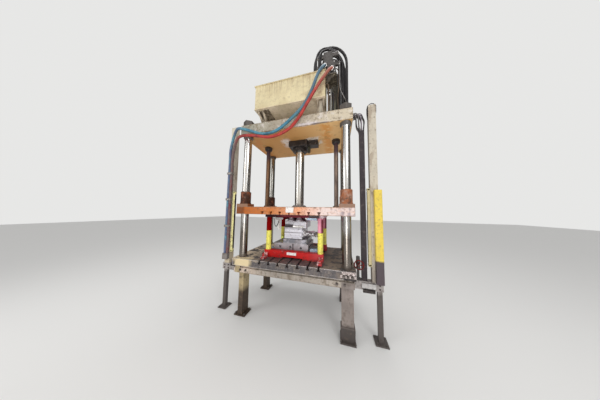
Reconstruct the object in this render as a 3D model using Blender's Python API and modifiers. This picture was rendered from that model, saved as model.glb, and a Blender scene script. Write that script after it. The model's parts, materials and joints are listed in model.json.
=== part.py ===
# Four-column hydraulic trim press with its oil unit on top, die set fitted and closed.
# Metres, +Z up, +Y to the rear. The origin is on the floor under the middle of the press.

import math

import bmesh
import bpy
from mathutils import Matrix, Vector

# Clearances between pieces
seat_gap = 0.0003
slide_gap = 0.0008
die_gap = 0.0010

# Columns and main plates
column_span_x = 1.676
column_span_y = 0.970
column_diameter = 0.128
column_spigot = 0.100
column_collar_diameter = 0.166
column_collar_height = 0.045
column_nut_flats = 0.170
column_nut_height = 0.088
column_thread_out = 0.028
bolster_top = 0.948
bolster_overhang_x = 0.112
bolster_overhang_y = 0.120
bolster_thickness = 0.112
crown_height = 3.051
crown_overhang_x = 0.099
crown_overhang_y = 0.090
crown_thickness = 0.177
platen_overhang_x = 0.107
platen_overhang_y = 0.091
platen_thickness = 0.124
platen_boss_rise = 0.048
platen_boss_inner_x = 0.105
platen_boss_inner_y = 0.095
bushing_diameter = 0.172
bushing_height = 0.208
plate_edge = 0.006
stroke = 0.760

# T-slots
slot_pitch = 0.1524
slot_count = 7
slot_neck = 0.027
slot_neck_depth = 0.030
slot_head = 0.046
slot_head_depth = 0.020

# Bed frame and legs
bed_setback_x = 0.025
bed_setback_y = 0.010
bed_height = 0.108
bed_lip_height = 0.029
bed_lip_inset = 0.026
bed_wall = 0.060
bed_rib = 0.022
bed_boss_inner_x = 0.143
bed_boss_inner_y = 0.100
column_thread_in = 0.080
channel_web = 0.160
channel_flange = 0.085
channel_wall = 0.012
foot_plate = 0.020
foot_length = 0.200
foot_depth = 0.190
shoe_height = 0.185
shoe_wall = 0.014
left_leg_offset_x = 0.055
right_leg_offset_x = 0.078
leg_offset_y = 0.005

# Main ram
ram_rod_diameter = 0.172
ram_bore = 0.250
ram_barrel_diameter = 0.340
ram_barrel_height = 1.050
ram_flange_diameter = 0.440
ram_flange_height = 0.050
ram_cap_diameter = 0.370
ram_cap_height = 0.070
ram_piston_height = 0.100
ram_piston_lift = 0.030
ram_foot_diameter = 0.270
ram_foot_height = 0.030
gland_square = 0.360
gland_plate = 0.110
gland_ring_diameter = 0.272
gland_ring_height = 0.066
gland_block_length = 0.206
gland_block_depth = 0.150
gland_block_height = 0.095

# Return cylinders at the two sides
return_span_x = 1.384
return_rod_diameter = 0.076
return_bore = 0.130
return_barrel_diameter = 0.186
return_barrel_height = 1.060
return_flange_diameter = 0.250
return_flange_height = 0.035
return_cap_diameter = 0.206
return_cap_height = 0.050
return_piston_height = 0.060
return_gland_diameter = 0.150
return_gland_height = 0.070
return_foot_diameter = 0.116
return_foot_height = 0.040

# Oil tank on its stands
tank_middle_x = -0.0905
tank_end_margin = 0.425
tank_front_y = -0.520
tank_depth = 0.320
tank_stand_height = 0.287
tank_height = 0.455
tank_wall = 0.006
tank_flange = 0.014
tank_flange_height = 0.012
filler_x = -0.420
filler_diameter = 0.080
stand_pad = 0.014
stand_bar = 0.040
stand_depth = 0.280

# Motor, pump, manifold and pipes
motor_length = 0.420
motor_diameter = 0.270
motor_fin = 0.012
motor_fin_count = 20
motor_axis_height = 0.175
motor_left_x = -0.640
motor_y = 0.370
pump_length = 0.260
pump_diameter = 0.150
manifold_overlap = 0.080
manifold_y = -0.420
manifold_length = 0.240
manifold_depth = 0.210
manifold_height = 0.220
valve_stack_rise = 0.070
valve_stack_width = 0.100
front_valve_rise = 0.190
front_valve_width = 0.070
front_valve_inset = 0.045
front_valve_setback = 0.005
solenoid_diameter = 0.068
solenoid_reach = 0.090
nipple_length = 0.075
bracket_plate = 0.016
pipe_diameter = 0.042
black_pipe_diameter = 0.044
tank_pipe_inset = 0.195
tank_pipe_margin = 0.057
tank_pipe_left_y = -0.330
tank_pipe_right_y = -0.254
tank_pipe_lift = 0.306
tank_pipe_rise = 0.330
signal_hose_diameter = 0.046

# Light curtain posts, outriggers and cable channel
post_offset_x = 0.240
post_side = 0.100
post_y = -0.380
post_wall = 0.005
post_height = 2.5397
arm_top = 0.780
arm_height = 0.110
outrigger_leg = 0.060
outrigger_foot = 0.160
curtain_width = 0.040
curtain_depth = 0.045
curtain_lift = 0.205
curtain_length = 1.075
cover_width = 0.096
cover_depth = 0.060
cover_height = 1.255
hose_rail_lift = 0.080
hose_rail_drop = 0.760
hose_rail_plate = 0.006
hose_rail_inset = 0.004
hose_rail_shift = 0.002
hose_stand_off = 0.026
hose_clamp_half = 0.030
hose_socket_half = 0.034
hose_clamp_pitch = 0.480
hose_clamp_height = 0.040
hose_socket_height = 0.100
cable_channel_width = 0.070
cable_channel_depth = 0.060
cable_channel_wall = 0.004
cable_channel_offset_x = 0.147
cable_channel_drop = 0.370

# Stop valve with its handwheel
valve_offset_x = 0.069
valve_pipe_diameter = 0.034
valve_axis_lift = 0.226
valve_ball_diameter = 0.070
valve_stem_diameter = 0.014
wheel_diameter = 0.135
wheel_rim = 0.015
wheel_spoke = 0.009
wheel_spokes = 5

# Die set
die_post_x = 0.450
die_post_y = 0.330
die_post_diameter = 0.088
stop_post_length = 0.3201
upper_post_length = 0.2297
rail_height = 0.116
rail_depth = 0.100
rail_length = 1.000
lower_shoe_length = 0.840
lower_shoe_height = 0.092
lower_die_left = -0.390
lower_die_right = 0.240
lower_die_step_left = -0.215
lower_die_step_right = 0.205
lower_die_depth = 0.500
lower_die_base_height = 0.1244
lower_die_step_height = 0.075
upper_shoe_length = 1.010
upper_shoe_depth = 0.760
upper_shoe_height = 0.048
upper_die_left = -0.200
upper_die_right = 0.125
upper_die_depth = 0.460
upper_die_block_height = 0.194
head_block_left = -0.190
head_block_right = 0.187
head_block_height = 0.111
head_block_depth = 0.400
cone_pitch = 0.155
cone_base_diameter = 0.140
cone_neck_diameter = 0.070
die_groove = 0.012
die_groove_depth = 0.014
die_groove_pitch = 0.060
die_hole = 0.044
riser_bottom_drop = 0.0427
riser_depth = 0.600
left_riser_x = (-0.340, -0.200)
right_riser_x = (0.224, 0.395)
clamp_reach = 0.150
clamp_height = 0.078
clamp_toe_height = 0.035
clamp_width = 0.070
clamp_nut_flats = 0.038
clamp_nut_height = 0.030
clamp_stud_diameter = 0.022
core_cylinder_y = -0.160
core_cylinder_drop = 0.095
core_flange_side = 0.104
core_flange_plate = 0.020
core_barrel_diameter = 0.084
core_barrel_length = 0.155
core_cap_diameter = 0.100
core_cap_length = 0.030
core_rod_diameter = 0.030
core_rod_out = 0.032

# Heights and places that follow from the sizes above
column_x = column_span_x / 2
column_y = column_span_y / 2
bolster_length = column_span_x + 2 * bolster_overhang_x
bolster_depth = column_span_y + 2 * bolster_overhang_y
bolster_underside = bolster_top - bolster_thickness
bed_length = bolster_length - 2 * bed_setback_x
bed_depth = bolster_depth - 2 * bed_setback_y
bed_top = bolster_underside - seat_gap
bed_bottom = bed_top - bed_height
left_leg_outer_x = -(column_x + left_leg_offset_x)
right_leg_inner_x = column_x - right_leg_offset_x
leg_front_y = -(column_y + leg_offset_y)
crown_length = column_span_x + 2 * crown_overhang_x
crown_depth = column_span_y + 2 * crown_overhang_y
crown_underside = crown_height
crown_top = crown_underside + crown_thickness
rail_top = bolster_top + seat_gap + rail_height
stop_height = rail_top + 2 * seat_gap + stop_post_length
upper_shoe_bottom = stop_height + upper_post_length
platen_underside = upper_shoe_bottom + upper_shoe_height + seat_gap
platen_top = platen_underside + platen_thickness
platen_length = column_span_x + 2 * platen_overhang_x
platen_depth = column_span_y + 2 * platen_overhang_y
boss_top = platen_top + platen_boss_rise
return_x = return_span_x / 2
tank_bottom = crown_top + tank_stand_height
tank_length = column_span_x - tank_end_margin
tank_left_x = tank_middle_x - tank_length / 2
tank_right_x = tank_middle_x + tank_length / 2
tank_top = tank_bottom + tank_height
manifold_x = tank_right_x - manifold_overlap
manifold_bottom = tank_top + 0.004 + bracket_plate + 2 * seat_gap
post_inner_x = bed_length / 2 + post_offset_x
post_outer_x = post_inner_x + post_side
post_top = arm_top + seat_gap + post_height
curtain_bottom = arm_top + curtain_lift
curtain_top = curtain_bottom + curtain_length
cover_top = arm_top + cover_height
cable_channel_x = bed_length / 2 + cable_channel_offset_x
cable_channel_top = post_top - cable_channel_drop
valve_x = bed_length / 2 + valve_offset_x
valve_axis_height = arm_top + valve_axis_lift
hose_rail_bottom = arm_top + hose_rail_lift
hose_rail_top = post_top - hose_rail_drop
hose_socket_top = hose_rail_bottom + hose_socket_height
lower_die_bottom = bolster_top + 2 * seat_gap + lower_shoe_height
lower_die_shoulder = lower_die_bottom + lower_die_base_height
lower_die_top = lower_die_shoulder + lower_die_step_height
upper_die_bottom = lower_die_top + die_gap
upper_die_shoulder = upper_die_bottom + upper_die_block_height
head_block_top = upper_die_shoulder + head_block_height

parts = bpy.data.collections.new("hydraulic_press")
cutters = bpy.data.collections.new("cutters")
finishes = {}


def clear_scene():
    for thing in list(bpy.data.objects):
        bpy.data.objects.remove(thing, do_unlink=True)
    bpy.context.scene.collection.children.link(parts)
    bpy.context.scene.collection.children.link(cutters)


def finish(name, colour, roughness, metallic):
    surface = bpy.data.materials.new(name)
    surface.use_nodes = True
    shader = surface.node_tree.nodes["Principled BSDF"]
    shader.inputs["Base Color"].default_value = (*colour, 1.0)
    shader.inputs["Roughness"].default_value = roughness
    shader.inputs["Metallic"].default_value = metallic
    finishes[name] = surface


def make_finishes():
    finish("cream_paint", (0.56, 0.51, 0.40), 0.6, 0.0)
    finish("orange_paint", (0.66, 0.22, 0.08), 0.6, 0.0)
    finish("rust_paint", (0.30, 0.10, 0.06), 0.7, 0.1)
    finish("chrome", (0.75, 0.76, 0.78), 0.15, 1.0)
    finish("worn_steel", (0.25, 0.23, 0.21), 0.5, 0.8)
    finish("grimy_black", (0.03, 0.03, 0.035), 0.55, 0.3)
    finish("grey_paint", (0.30, 0.28, 0.26), 0.6, 0.0)
    finish("red_paint", (0.55, 0.03, 0.04), 0.5, 0.0)
    finish("yellow_paint", (0.80, 0.66, 0.06), 0.5, 0.0)
    finish("die_steel", (0.62, 0.62, 0.66), 0.35, 0.9)
    finish("blue_hose", (0.08, 0.30, 0.50), 0.5, 0.0)
    finish("red_hose", (0.45, 0.05, 0.06), 0.5, 0.0)
    finish("black_pipe", (0.02, 0.02, 0.02), 0.6, 0.0)
    finish("dark_purple_grey", (0.11, 0.09, 0.11), 0.6, 0.1)


def add_object(name, mesh, colour=None):
    thing = bpy.data.objects.new(name, mesh)
    if colour is None:
        cutters.objects.link(thing)
        thing.hide_render = True
        thing.display_type = "WIRE"
    else:
        parts.objects.link(thing)
        thing.data.materials.append(finishes[colour].copy())
    return thing


def mesh_from(bm, name):
    mesh = bpy.data.meshes.new(name)
    bmesh.ops.recalc_face_normals(bm, faces=bm.faces)
    bm.to_mesh(mesh)
    bm.free()
    return mesh


def box(name, low, high, colour=None, edge=0.0):
    size = [b - a for a, b in zip(low, high)]
    bm = bmesh.new()
    bmesh.ops.create_cube(bm, size=1.0)
    bmesh.ops.scale(bm, vec=size, verts=bm.verts)
    thing = add_object(name, mesh_from(bm, name), colour)
    thing.location = [(a + b) / 2 for a, b in zip(low, high)]
    if edge:
        bevel(thing, edge)
    return thing


def bevel(thing, width, angle=40, segments=1):
    modifier = thing.modifiers.new("edges", "BEVEL")
    modifier.width = width
    modifier.segments = segments
    modifier.limit_method = "ANGLE"
    modifier.angle_limit = math.radians(angle)


turns = {
    "Z": Matrix.Identity(4),
    "X": Matrix.Rotation(math.radians(90), 4, "Y"),
    "-X": Matrix.Rotation(math.radians(-90), 4, "Y"),
    "Y": Matrix.Rotation(math.radians(-90), 4, "X"),
    "-Y": Matrix.Rotation(math.radians(90), 4, "X"),
}


def turned(name, profile, place, colour=None, axis="Z", sides=24):
    # profile is (radius, height) down the outer side, and back up the bore where there is one
    closed = profile[0][0] > 0 and profile[-1][0] > 0
    count = len(profile)
    edges = [(i, i + 1) for i in range(count - 1)]
    if closed:
        edges.append((count - 1, 0))
    mesh = bpy.data.meshes.new(name)
    mesh.from_pydata([(radius, 0, height) for radius, height in profile], edges, [])
    thing = add_object(name, mesh, colour)
    thing.matrix_world = Matrix.Translation(Vector(place)) @ turns[axis]
    screw = thing.modifiers.new("turn", "SCREW")
    screw.steps = sides
    screw.render_steps = sides
    screw.use_merge_vertices = True
    screw.merge_threshold = 0.00001
    screw.use_smooth_shade = False
    return thing


def rod(name, diameter, low, high, place, colour=None, axis="Z", sides=24):
    radius = diameter / 2
    return turned(name, [(0, high), (radius, high), (radius, low), (0, low)], place, colour, axis, sides)


def extrusion(name, outline, start, length, place, axis, colour=None):
    # outline is drawn in the plane across the axis and carried along it from start
    bm = bmesh.new()
    face = bm.faces.new([bm.verts.new((a, b, start)) for a, b in outline])
    grown = bmesh.ops.extrude_face_region(bm, geom=[face])
    moved = [item for item in grown["geom"] if isinstance(item, bmesh.types.BMVert)]
    bmesh.ops.translate(bm, vec=(0, 0, length), verts=moved)
    thing = add_object(name, mesh_from(bm, name), colour)
    thing.matrix_world = Matrix.Translation(Vector(place)) @ turns[axis]
    return thing


def prism(name, flats, low, high, place, colour=None, sides=6):
    bm = bmesh.new()
    radius = flats / 2 / math.cos(math.pi / sides)
    bmesh.ops.create_cone(
        bm, cap_ends=True, segments=sides, radius1=radius, radius2=radius, depth=high - low
    )
    thing = add_object(name, mesh_from(bm, name), colour)
    thing.location = (place[0], place[1], place[2] + (low + high) / 2)
    return thing


def cut(thing, *tools):
    for tool in tools:
        modifier = thing.modifiers.new("cut", "BOOLEAN")
        modifier.operation = "DIFFERENCE"
        modifier.solver = "EXACT"
        modifier.object = tool


def weld(thing, *others):
    for other in others:
        modifier = thing.modifiers.new("weld", "BOOLEAN")
        modifier.operation = "UNION"
        modifier.solver = "EXACT"
        modifier.object = other


def smooth_route(points, step):
    # points at even steps along a Catmull-Rom curve through the given ones
    places = [Vector(point) for point in points]
    ends = [2 * places[0] - places[1]] + places + [2 * places[-1] - places[-2]]
    fine = []
    for a, b, c, d in zip(ends, ends[1:], ends[2:], ends[3:]):
        for part in range(24):
            t = part / 24
            fine.append(
                0.5 * (2 * b + (c - a) * t + (2 * a - 5 * b + 4 * c - d) * t**2 + (3 * b - a - 3 * c + d) * t**3)
            )
    fine.append(places[-1])
    lengths = [0.0]
    for a, b in zip(fine, fine[1:]):
        lengths.append(lengths[-1] + (b - a).length)
    count = max(2, round(lengths[-1] / step))
    even = []
    reached = 0
    for k in range(count + 1):
        wanted = lengths[-1] * k / count
        while reached < len(fine) - 2 and lengths[reached + 1] < wanted:
            reached += 1
        span = lengths[reached + 1] - lengths[reached]
        share = 0.0 if span == 0 else (wanted - lengths[reached]) / span
        even.append(fine[reached].lerp(fine[reached + 1], min(1.0, share)))
    # the first and last stretch leave their fittings square
    even[1] = places[0] + (places[1] - places[0]).normalized() * (even[1] - even[0]).length
    even[-2] = places[-1] + (places[-2] - places[-1]).normalized() * (even[-2] - even[-1]).length
    return even


def tube(name, points, diameter, colour, resolution=3):
    curve = bpy.data.curves.new(name, "CURVE")
    curve.dimensions = "3D"
    curve.bevel_depth = diameter / 2
    curve.bevel_resolution = resolution
    curve.use_fill_caps = True
    spline = curve.splines.new("POLY")
    spline.points.add(len(points) - 1)
    for place, point in zip(points, spline.points):
        point.co = (*place, 1.0)
    return add_object(name, curve, colour)


corners = {
    "front_left": (-1, -1),
    "front_right": (1, -1),
    "rear_left": (-1, 1),
    "rear_right": (1, 1),
}


def slot_outline(wide, low, high, up):
    # one slotted edge: points from left to right along the edge, dipping into each T-slot
    points = []
    for index in range(slot_count):
        middle = (index - (slot_count - 1) / 2) * slot_pitch
        neck = slot_neck / 2
        head = slot_head / 2
        edge = high if up else low
        sign = -1 if up else 1
        shoulder = edge + sign * slot_neck_depth
        floor = shoulder + sign * slot_head_depth
        points += [
            (middle - neck, edge),
            (middle - neck, shoulder),
            (middle - head, shoulder),
            (middle - head, floor),
            (middle + head, floor),
            (middle + head, shoulder),
            (middle + neck, shoulder),
            (middle + neck, edge),
        ]
    half = wide / 2
    far = low if up else high
    near = high if up else low
    return [(-half, far), (-half, near)] + points + [(half, near), (half, far)]


def slotted_plate(name, length, depth, low, high, up, colour):
    # drawn across Y: turning -Y to Z puts the outline's second axis along Z
    outline = slot_outline(length, low, high, up)
    return extrusion(name, outline, -depth / 2, depth, (0, 0, 0), "-Y", colour)


def build_bolster():
    bolster = slotted_plate(
        "bolster", bolster_length, bolster_depth, bolster_underside, bolster_top, True, "worn_steel"
    )
    for name, (sx, sy) in corners.items():
        cut(
            bolster,
            rod(
                "bolster_bore_" + name,
                column_spigot + 2 * seat_gap,
                bolster_underside - 0.02,
                bolster_top + 0.02,
                (sx * column_x, sy * column_y, 0),
            ),
        )


def build_bed():
    half_x = bed_length / 2
    half_y = bed_depth / 2
    lip_bottom = bed_top - bed_lip_height
    bed = box(
        "bed_frame", (-half_x, -half_y, bed_bottom), (half_x, half_y, lip_bottom), "cream_paint", 0.004
    )
    inset = bed_lip_inset
    lip = box(
        "bed_lip",
        (-half_x + inset, -half_y + inset, lip_bottom - 0.012),
        (half_x - inset, half_y - inset, bed_top),
    )
    weld(bed, lip)
    inner_x = column_x - bed_boss_inner_x
    boss_y = column_y - bed_boss_inner_y
    inner_y = half_y - bed_wall
    bay = (2 * inner_x - 2 * bed_rib) / 3
    for index in range(3):
        left = -inner_x + index * (bay + bed_rib)
        cut(
            bed,
            box(
                "bed_bay_%d" % index,
                (left, -inner_y, bed_bottom - 0.02),
                (left + bay, inner_y, bed_top + 0.02),
            ),
        )
    for side in (-1, 1):
        near = side * (inner_x + bed_rib)
        far = side * (half_x - bed_wall)
        cut(
            bed,
            box(
                "bed_side_bay_%d" % side,
                (min(near, far), -(boss_y), bed_bottom - 0.02),
                (max(near, far), boss_y, bed_top + 0.02),
            ),
        )
    for name, (sx, sy) in corners.items():
        cut(
            bed,
            rod(
                "bed_bore_" + name,
                column_spigot + 2 * seat_gap,
                bed_top - column_thread_in - seat_gap,
                bed_top + 0.02,
                (sx * column_x, sy * column_y, 0),
            ),
        )


def channel_outline(web, flange, wall):
    # web along the first axis at the second axis's low side, flanges towards its high side
    return [
        (0, 0),
        (web, 0),
        (web, flange),
        (web - wall, flange),
        (web - wall, wall),
        (wall, wall),
        (wall, flange),
        (0, flange),
    ]


def build_legs():
    leg_top = bed_bottom - seat_gap
    outline = channel_outline(channel_web, channel_flange, channel_wall)
    for name, (sx, sy) in corners.items():
        if sx < 0:
            # web faces the middle of the press
            xs = left_leg_outer_x + channel_flange
            shape = [(xs - b, sy * (leg_front_y + a) * -1) for a, b in outline]
            middle_x = left_leg_outer_x + channel_flange / 2
            middle_y = -sy * (leg_front_y + channel_web / 2)
        else:
            # web faces the front or the rear
            shape = [(right_leg_inner_x + a, -sy * (leg_front_y + b)) for a, b in outline]
            middle_x = right_leg_inner_x + channel_web / 2
            middle_y = -sy * (leg_front_y + channel_flange / 2)
        leg = extrusion(
            "leg_" + name, shape, foot_plate - 0.004, leg_top - foot_plate + 0.004, (0, 0, 0), "Z",
            "grey_paint",
        )
        plate = box(
            "foot_" + name,
            (middle_x - foot_length / 2, middle_y - foot_depth / 2, 0),
            (middle_x + foot_length / 2, middle_y + foot_depth / 2, foot_plate),
        )
        weld(leg, plate)
        if sx > 0:
            low_y = middle_y - channel_flange / 2
            high_y = middle_y + channel_flange / 2
            weld(
                leg,
                box(
                    "shoe_" + name,
                    (right_leg_inner_x - shoe_wall, low_y - shoe_wall, foot_plate - 0.004),
                    (right_leg_inner_x + channel_web + shoe_wall, high_y + shoe_wall, shoe_height),
                ),
            )


def build_columns():
    radius = column_diameter / 2
    thread = column_spigot / 2
    collar = column_collar_diameter / 2
    foot = bed_top - column_thread_in
    shoulder = bolster_top + seat_gap
    under = crown_underside - seat_gap
    collar_low = under - column_collar_height
    nut_low = crown_top + seat_gap
    nut_high = nut_low + column_nut_height
    tip = nut_high + column_thread_out
    profile = [
        (0, tip),
        (thread - 0.006, tip),
        (thread, tip - 0.006),
        (thread, under),
        (collar, under),
        (collar, collar_low + 0.008),
        (collar - 0.008, collar_low),
        (radius, collar_low),
        (radius, shoulder),
        (thread, shoulder),
        (thread, foot),
        (0, foot),
    ]
    for name, (sx, sy) in corners.items():
        place = (sx * column_x, sy * column_y, 0)
        column = turned("column_" + name, profile, place, "chrome", sides=24)
        weld(column, prism("nut_" + name, column_nut_flats, nut_low, nut_high, place))


def build_crown():
    crown = box(
        "crown_plate",
        (-crown_length / 2, -crown_depth / 2, crown_underside),
        (crown_length / 2, crown_depth / 2, crown_top),
        "cream_paint",
        plate_edge,
    )
    low = crown_underside - 0.02
    high = crown_top + 0.02
    for name, (sx, sy) in corners.items():
        place = (sx * column_x, sy * column_y, 0)
        cut(crown, rod("crown_bore_" + name, column_spigot + 2 * seat_gap, low, high, place))
    cut(crown, rod("crown_ram_bore", ram_bore, low, high, (0, 0, 0), sides=32))
    for side in (-1, 1):
        place = (side * return_x, 0, 0)
        cut(crown, rod("crown_return_bore_%d" % side, return_bore, low, high, place, sides=24))


def build_ram_cylinder():
    base = crown_top + seat_gap
    flange = base + ram_flange_height
    top = base + ram_barrel_height
    barrel = ram_barrel_diameter / 2
    bore = ram_bore / 2
    profile = [
        (0, top),
        (ram_cap_diameter / 2 - 0.01, top),
        (ram_cap_diameter / 2, top - 0.01),
        (ram_cap_diameter / 2, top - ram_cap_height),
        (barrel, top - ram_cap_height),
        (barrel, flange + 0.02),
        (barrel + 0.02, flange),
        (ram_flange_diameter / 2, flange),
        (ram_flange_diameter / 2, base),
        (bore, base),
        (bore, top - ram_cap_height),
        (0, top - ram_cap_height),
    ]
    turned("ram_cylinder", profile, (0, 0, 0), "grimy_black", sides=32)


def build_ram_gland():
    top = crown_underside - seat_gap
    plate_low = top - gland_plate
    ring_low = plate_low - gland_ring_height
    half = gland_square / 2
    gland = box("ram_gland", (-half, -half, plate_low), (half, half, top), "grimy_black", 0.008)
    ring = gland_ring_diameter / 2
    collar = turned(
        "gland_ring",
        [
            (0, plate_low + 0.02),
            (ring, plate_low + 0.02),
            (ring, ring_low + 0.012),
            (ring - 0.012, ring_low),
            (0, ring_low),
        ],
        (0, 0, 0),
        sides=32,
    )
    block = box(
        "gland_port_block",
        (half - 0.02, -gland_block_depth + 0.03, top - gland_block_height),
        (half - 0.02 + gland_block_length, 0.03, top),
    )
    weld(gland, collar, block)
    bore = ram_rod_diameter + 2 * slide_gap
    cut(gland, rod("gland_bore", bore, ring_low - 0.02, top + 0.02, (0, 0, 0), sides=32))


def build_return_cylinders():
    base = crown_top + seat_gap
    top = base + return_barrel_height
    flange = return_flange_diameter / 2
    barrel = return_barrel_diameter / 2
    cap = return_cap_diameter / 2
    bore = return_bore / 2
    profile = [
        (0, top),
        (cap - 0.008, top),
        (cap, top - 0.008),
        (cap, top - return_cap_height),
        (barrel, top - return_cap_height),
        (barrel, base + return_flange_height),
        (flange, base + return_flange_height),
        (flange, base),
        (bore, base),
        (bore, top - return_cap_height),
        (0, top - return_cap_height),
    ]
    under = crown_underside - seat_gap
    hole = return_rod_diameter / 2 + slide_gap
    outer = return_gland_diameter / 2
    gland = [
        (outer, under),
        (outer, under - return_gland_height + 0.02),
        (outer - 0.014, under - return_gland_height),
        (hole, under - return_gland_height),
        (hole, under),
    ]
    for side, word in ((-1, "left"), (1, "right")):
        place = (side * return_x, 0, 0)
        turned("return_cylinder_" + word, profile, place, "cream_paint", sides=24)
        turned("return_gland_" + word, gland, place, "grimy_black", sides=24)


def build_tank():
    low = (tank_left_x, tank_front_y, tank_bottom)
    high = (tank_right_x, tank_front_y + tank_depth, tank_top)
    tank = box("oil_tank", low, high, "cream_paint", 0.004)
    flange = tank_flange
    weld(
        tank,
        box(
            "tank_top_flange",
            (low[0] - flange, low[1] - flange, tank_top - tank_flange_height),
            (high[0] + flange, high[1] + flange, tank_top + 0.004),
        ),
        box(
            "tank_bottom_flange",
            (low[0] + 0.001, low[1] - flange, tank_bottom - 0.004),
            (high[0] - 0.001, high[1] + flange, tank_bottom + tank_flange_height),
        ),
    )
    wall = tank_wall
    cut(
        tank,
        box(
            "tank_hollow",
            (low[0] + wall, low[1] + wall, low[2] + wall),
            (high[0] - wall, high[1] - wall, high[2] - wall),
        ),
        rod("tank_filler_hole", filler_diameter, tank_top - 0.05, tank_top + 0.05, filler_place()),
    )


def filler_place():
    return (filler_x, tank_front_y + tank_depth / 2, 0)


def build_filler():
    rim = tank_top + 0.004 + seat_gap
    neck = filler_diameter / 2 - seat_gap
    profile = [
        (0, rim + 0.085),
        (neck - 0.004, rim + 0.085),
        (neck + 0.008, rim + 0.075),
        (neck + 0.008, rim + 0.035),
        (neck - 0.008, rim + 0.035),
        (neck - 0.008, rim + 0.012),
        (neck + 0.014, rim + 0.012),
        (neck + 0.014, rim),
        (neck, rim),
        (neck, rim - 0.04),
        (0, rim - 0.04),
    ]
    turned("filler_breather", profile, filler_place(), "grimy_black", sides=24)


def sloped_bar(name, foot_x, head_x, low_z, high_z, width, y_low, y_high):
    outline = [
        (foot_x - width / 2, low_z),
        (foot_x + width / 2, low_z),
        (head_x + width / 2, high_z),
        (head_x - width / 2, high_z),
    ]
    return extrusion(name, outline, -y_high, y_high - y_low, (0, 0, 0), "-Y")


def build_stands():
    low = crown_top + seat_gap
    high = tank_bottom - 0.004 - seat_gap
    front = tank_front_y + 0.02
    back = front + stand_depth
    middles = {"left": tank_left_x + 0.150, "right": tank_right_x - 0.070}
    for word, middle in middles.items():
        half = 0.110 if word == "left" else 0.070
        stand = box(
            "tank_stand_" + word, (middle - half, front, low), (middle + half, back, low + stand_pad),
            "cream_paint",
        )
        weld(
            stand,
            box(
                "stand_head_" + word,
                (middle - half, front, high - stand_pad),
                (middle + half, back, high),
            ),
        )
        inner_low = low + stand_pad - 0.004
        inner_high = high - stand_pad + 0.004
        if word == "left":
            bars = [(middle + 0.020, middle - 0.085), (middle + 0.090, middle + 0.005)]
        else:
            bars = [(middle - 0.045, middle - 0.045), (middle + 0.045, middle + 0.045)]
        for index, (foot, head) in enumerate(bars):
            for end, y in (("front", front), ("back", back - stand_bar)):
                weld(
                    stand,
                    sloped_bar(
                        "stand_bar_%s_%s_%d" % (word, end, index),
                        foot, head, inner_low, inner_high, stand_bar * 0.8, y, y + stand_bar,
                    ),
                )


def build_motor():
    axis_z = crown_top + seat_gap + motor_axis_height
    radius = motor_diameter / 2
    root = radius - motor_fin
    outline = []
    for index in range(motor_fin_count):
        start = 2 * math.pi * index / motor_fin_count
        for share, reach in ((0.0, radius), (0.3, radius), (0.4, root), (0.9, root)):
            angle = start + share * 2 * math.pi / motor_fin_count
            outline.append((reach * math.cos(angle), reach * math.sin(angle)))
    bell = 0.055
    motor = extrusion(
        "pump_motor", outline, bell, motor_length - 2 * bell, (motor_left_x, motor_y, axis_z), "X",
        "grey_paint",
    )
    place = (motor_left_x, motor_y, axis_z)
    shell = turned(
        "motor_shell",
        [
            (0, motor_length),
            (root - 0.03, motor_length),
            (root, motor_length - 0.03),
            (root, 0.03),
            (root - 0.03, 0),
            (0, 0),
        ],
        place,
        axis="X",
        sides=20,
    )
    base = crown_top + seat_gap
    foot = box(
        "motor_foot",
        (motor_left_x + 0.07, motor_y - 0.13, base),
        (motor_left_x + motor_length - 0.07, motor_y + 0.13, base + 0.016),
    )
    saddle = box(
        "motor_saddle",
        (motor_left_x + 0.10, motor_y - 0.075, base + 0.010),
        (motor_left_x + motor_length - 0.10, motor_y + 0.075, axis_z - root * 0.6),
    )
    terminal = box(
        "motor_terminal_box",
        (motor_left_x + 0.13, motor_y - 0.05, axis_z + root - 0.02),
        (motor_left_x + 0.25, motor_y + 0.05, axis_z + radius + 0.055),
    )
    weld(motor, shell, foot, saddle, terminal)


def build_pump():
    axis_z = crown_top + seat_gap + motor_axis_height
    start = motor_left_x + motor_length + seat_gap
    flange = 0.105
    body = pump_diameter / 2
    profile = [
        (0, pump_length),
        (0.045, pump_length),
        (0.045, pump_length - 0.03),
        (body, pump_length - 0.03),
        (body, 0.150),
        (body - 0.02, 0.120),
        (body - 0.02, 0.100),
        (flange - 0.02, 0.040),
        (flange, 0.025),
        (flange, 0),
        (0, 0),
    ]
    pump = turned("pump", profile, (start, motor_y, axis_z), "grimy_black", axis="X", sides=24)
    outlet = rod(
        "pump_outlet", pipe_diameter + 0.02, 0.02, body + 0.035, (start + 0.19, motor_y, axis_z), sides=20
    )
    weld(pump, outlet)
    return start + 0.19, axis_z + body + 0.035


def build_pressure_pipe(x, z):
    top = crown_top + seat_gap + ram_barrel_height - ram_cap_height - 0.09
    wall_y = ram_barrel_diameter / 2
    bend = 0.075
    up = [(x, motor_y, z + seat_gap), (x, motor_y, z + 0.15), (x, motor_y, top - bend - 0.12)]
    arc = []
    for index in range(7):
        angle = math.radians(90 * index / 6)
        arc.append((x, motor_y - bend + bend * math.cos(angle), top - bend + bend * math.sin(angle)))
    meet = math.sqrt(wall_y**2 - x**2) + 0.010
    tube("pressure_pipe", up + arc + [(x, meet, top)], pipe_diameter, "grimy_black", 3)


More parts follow.
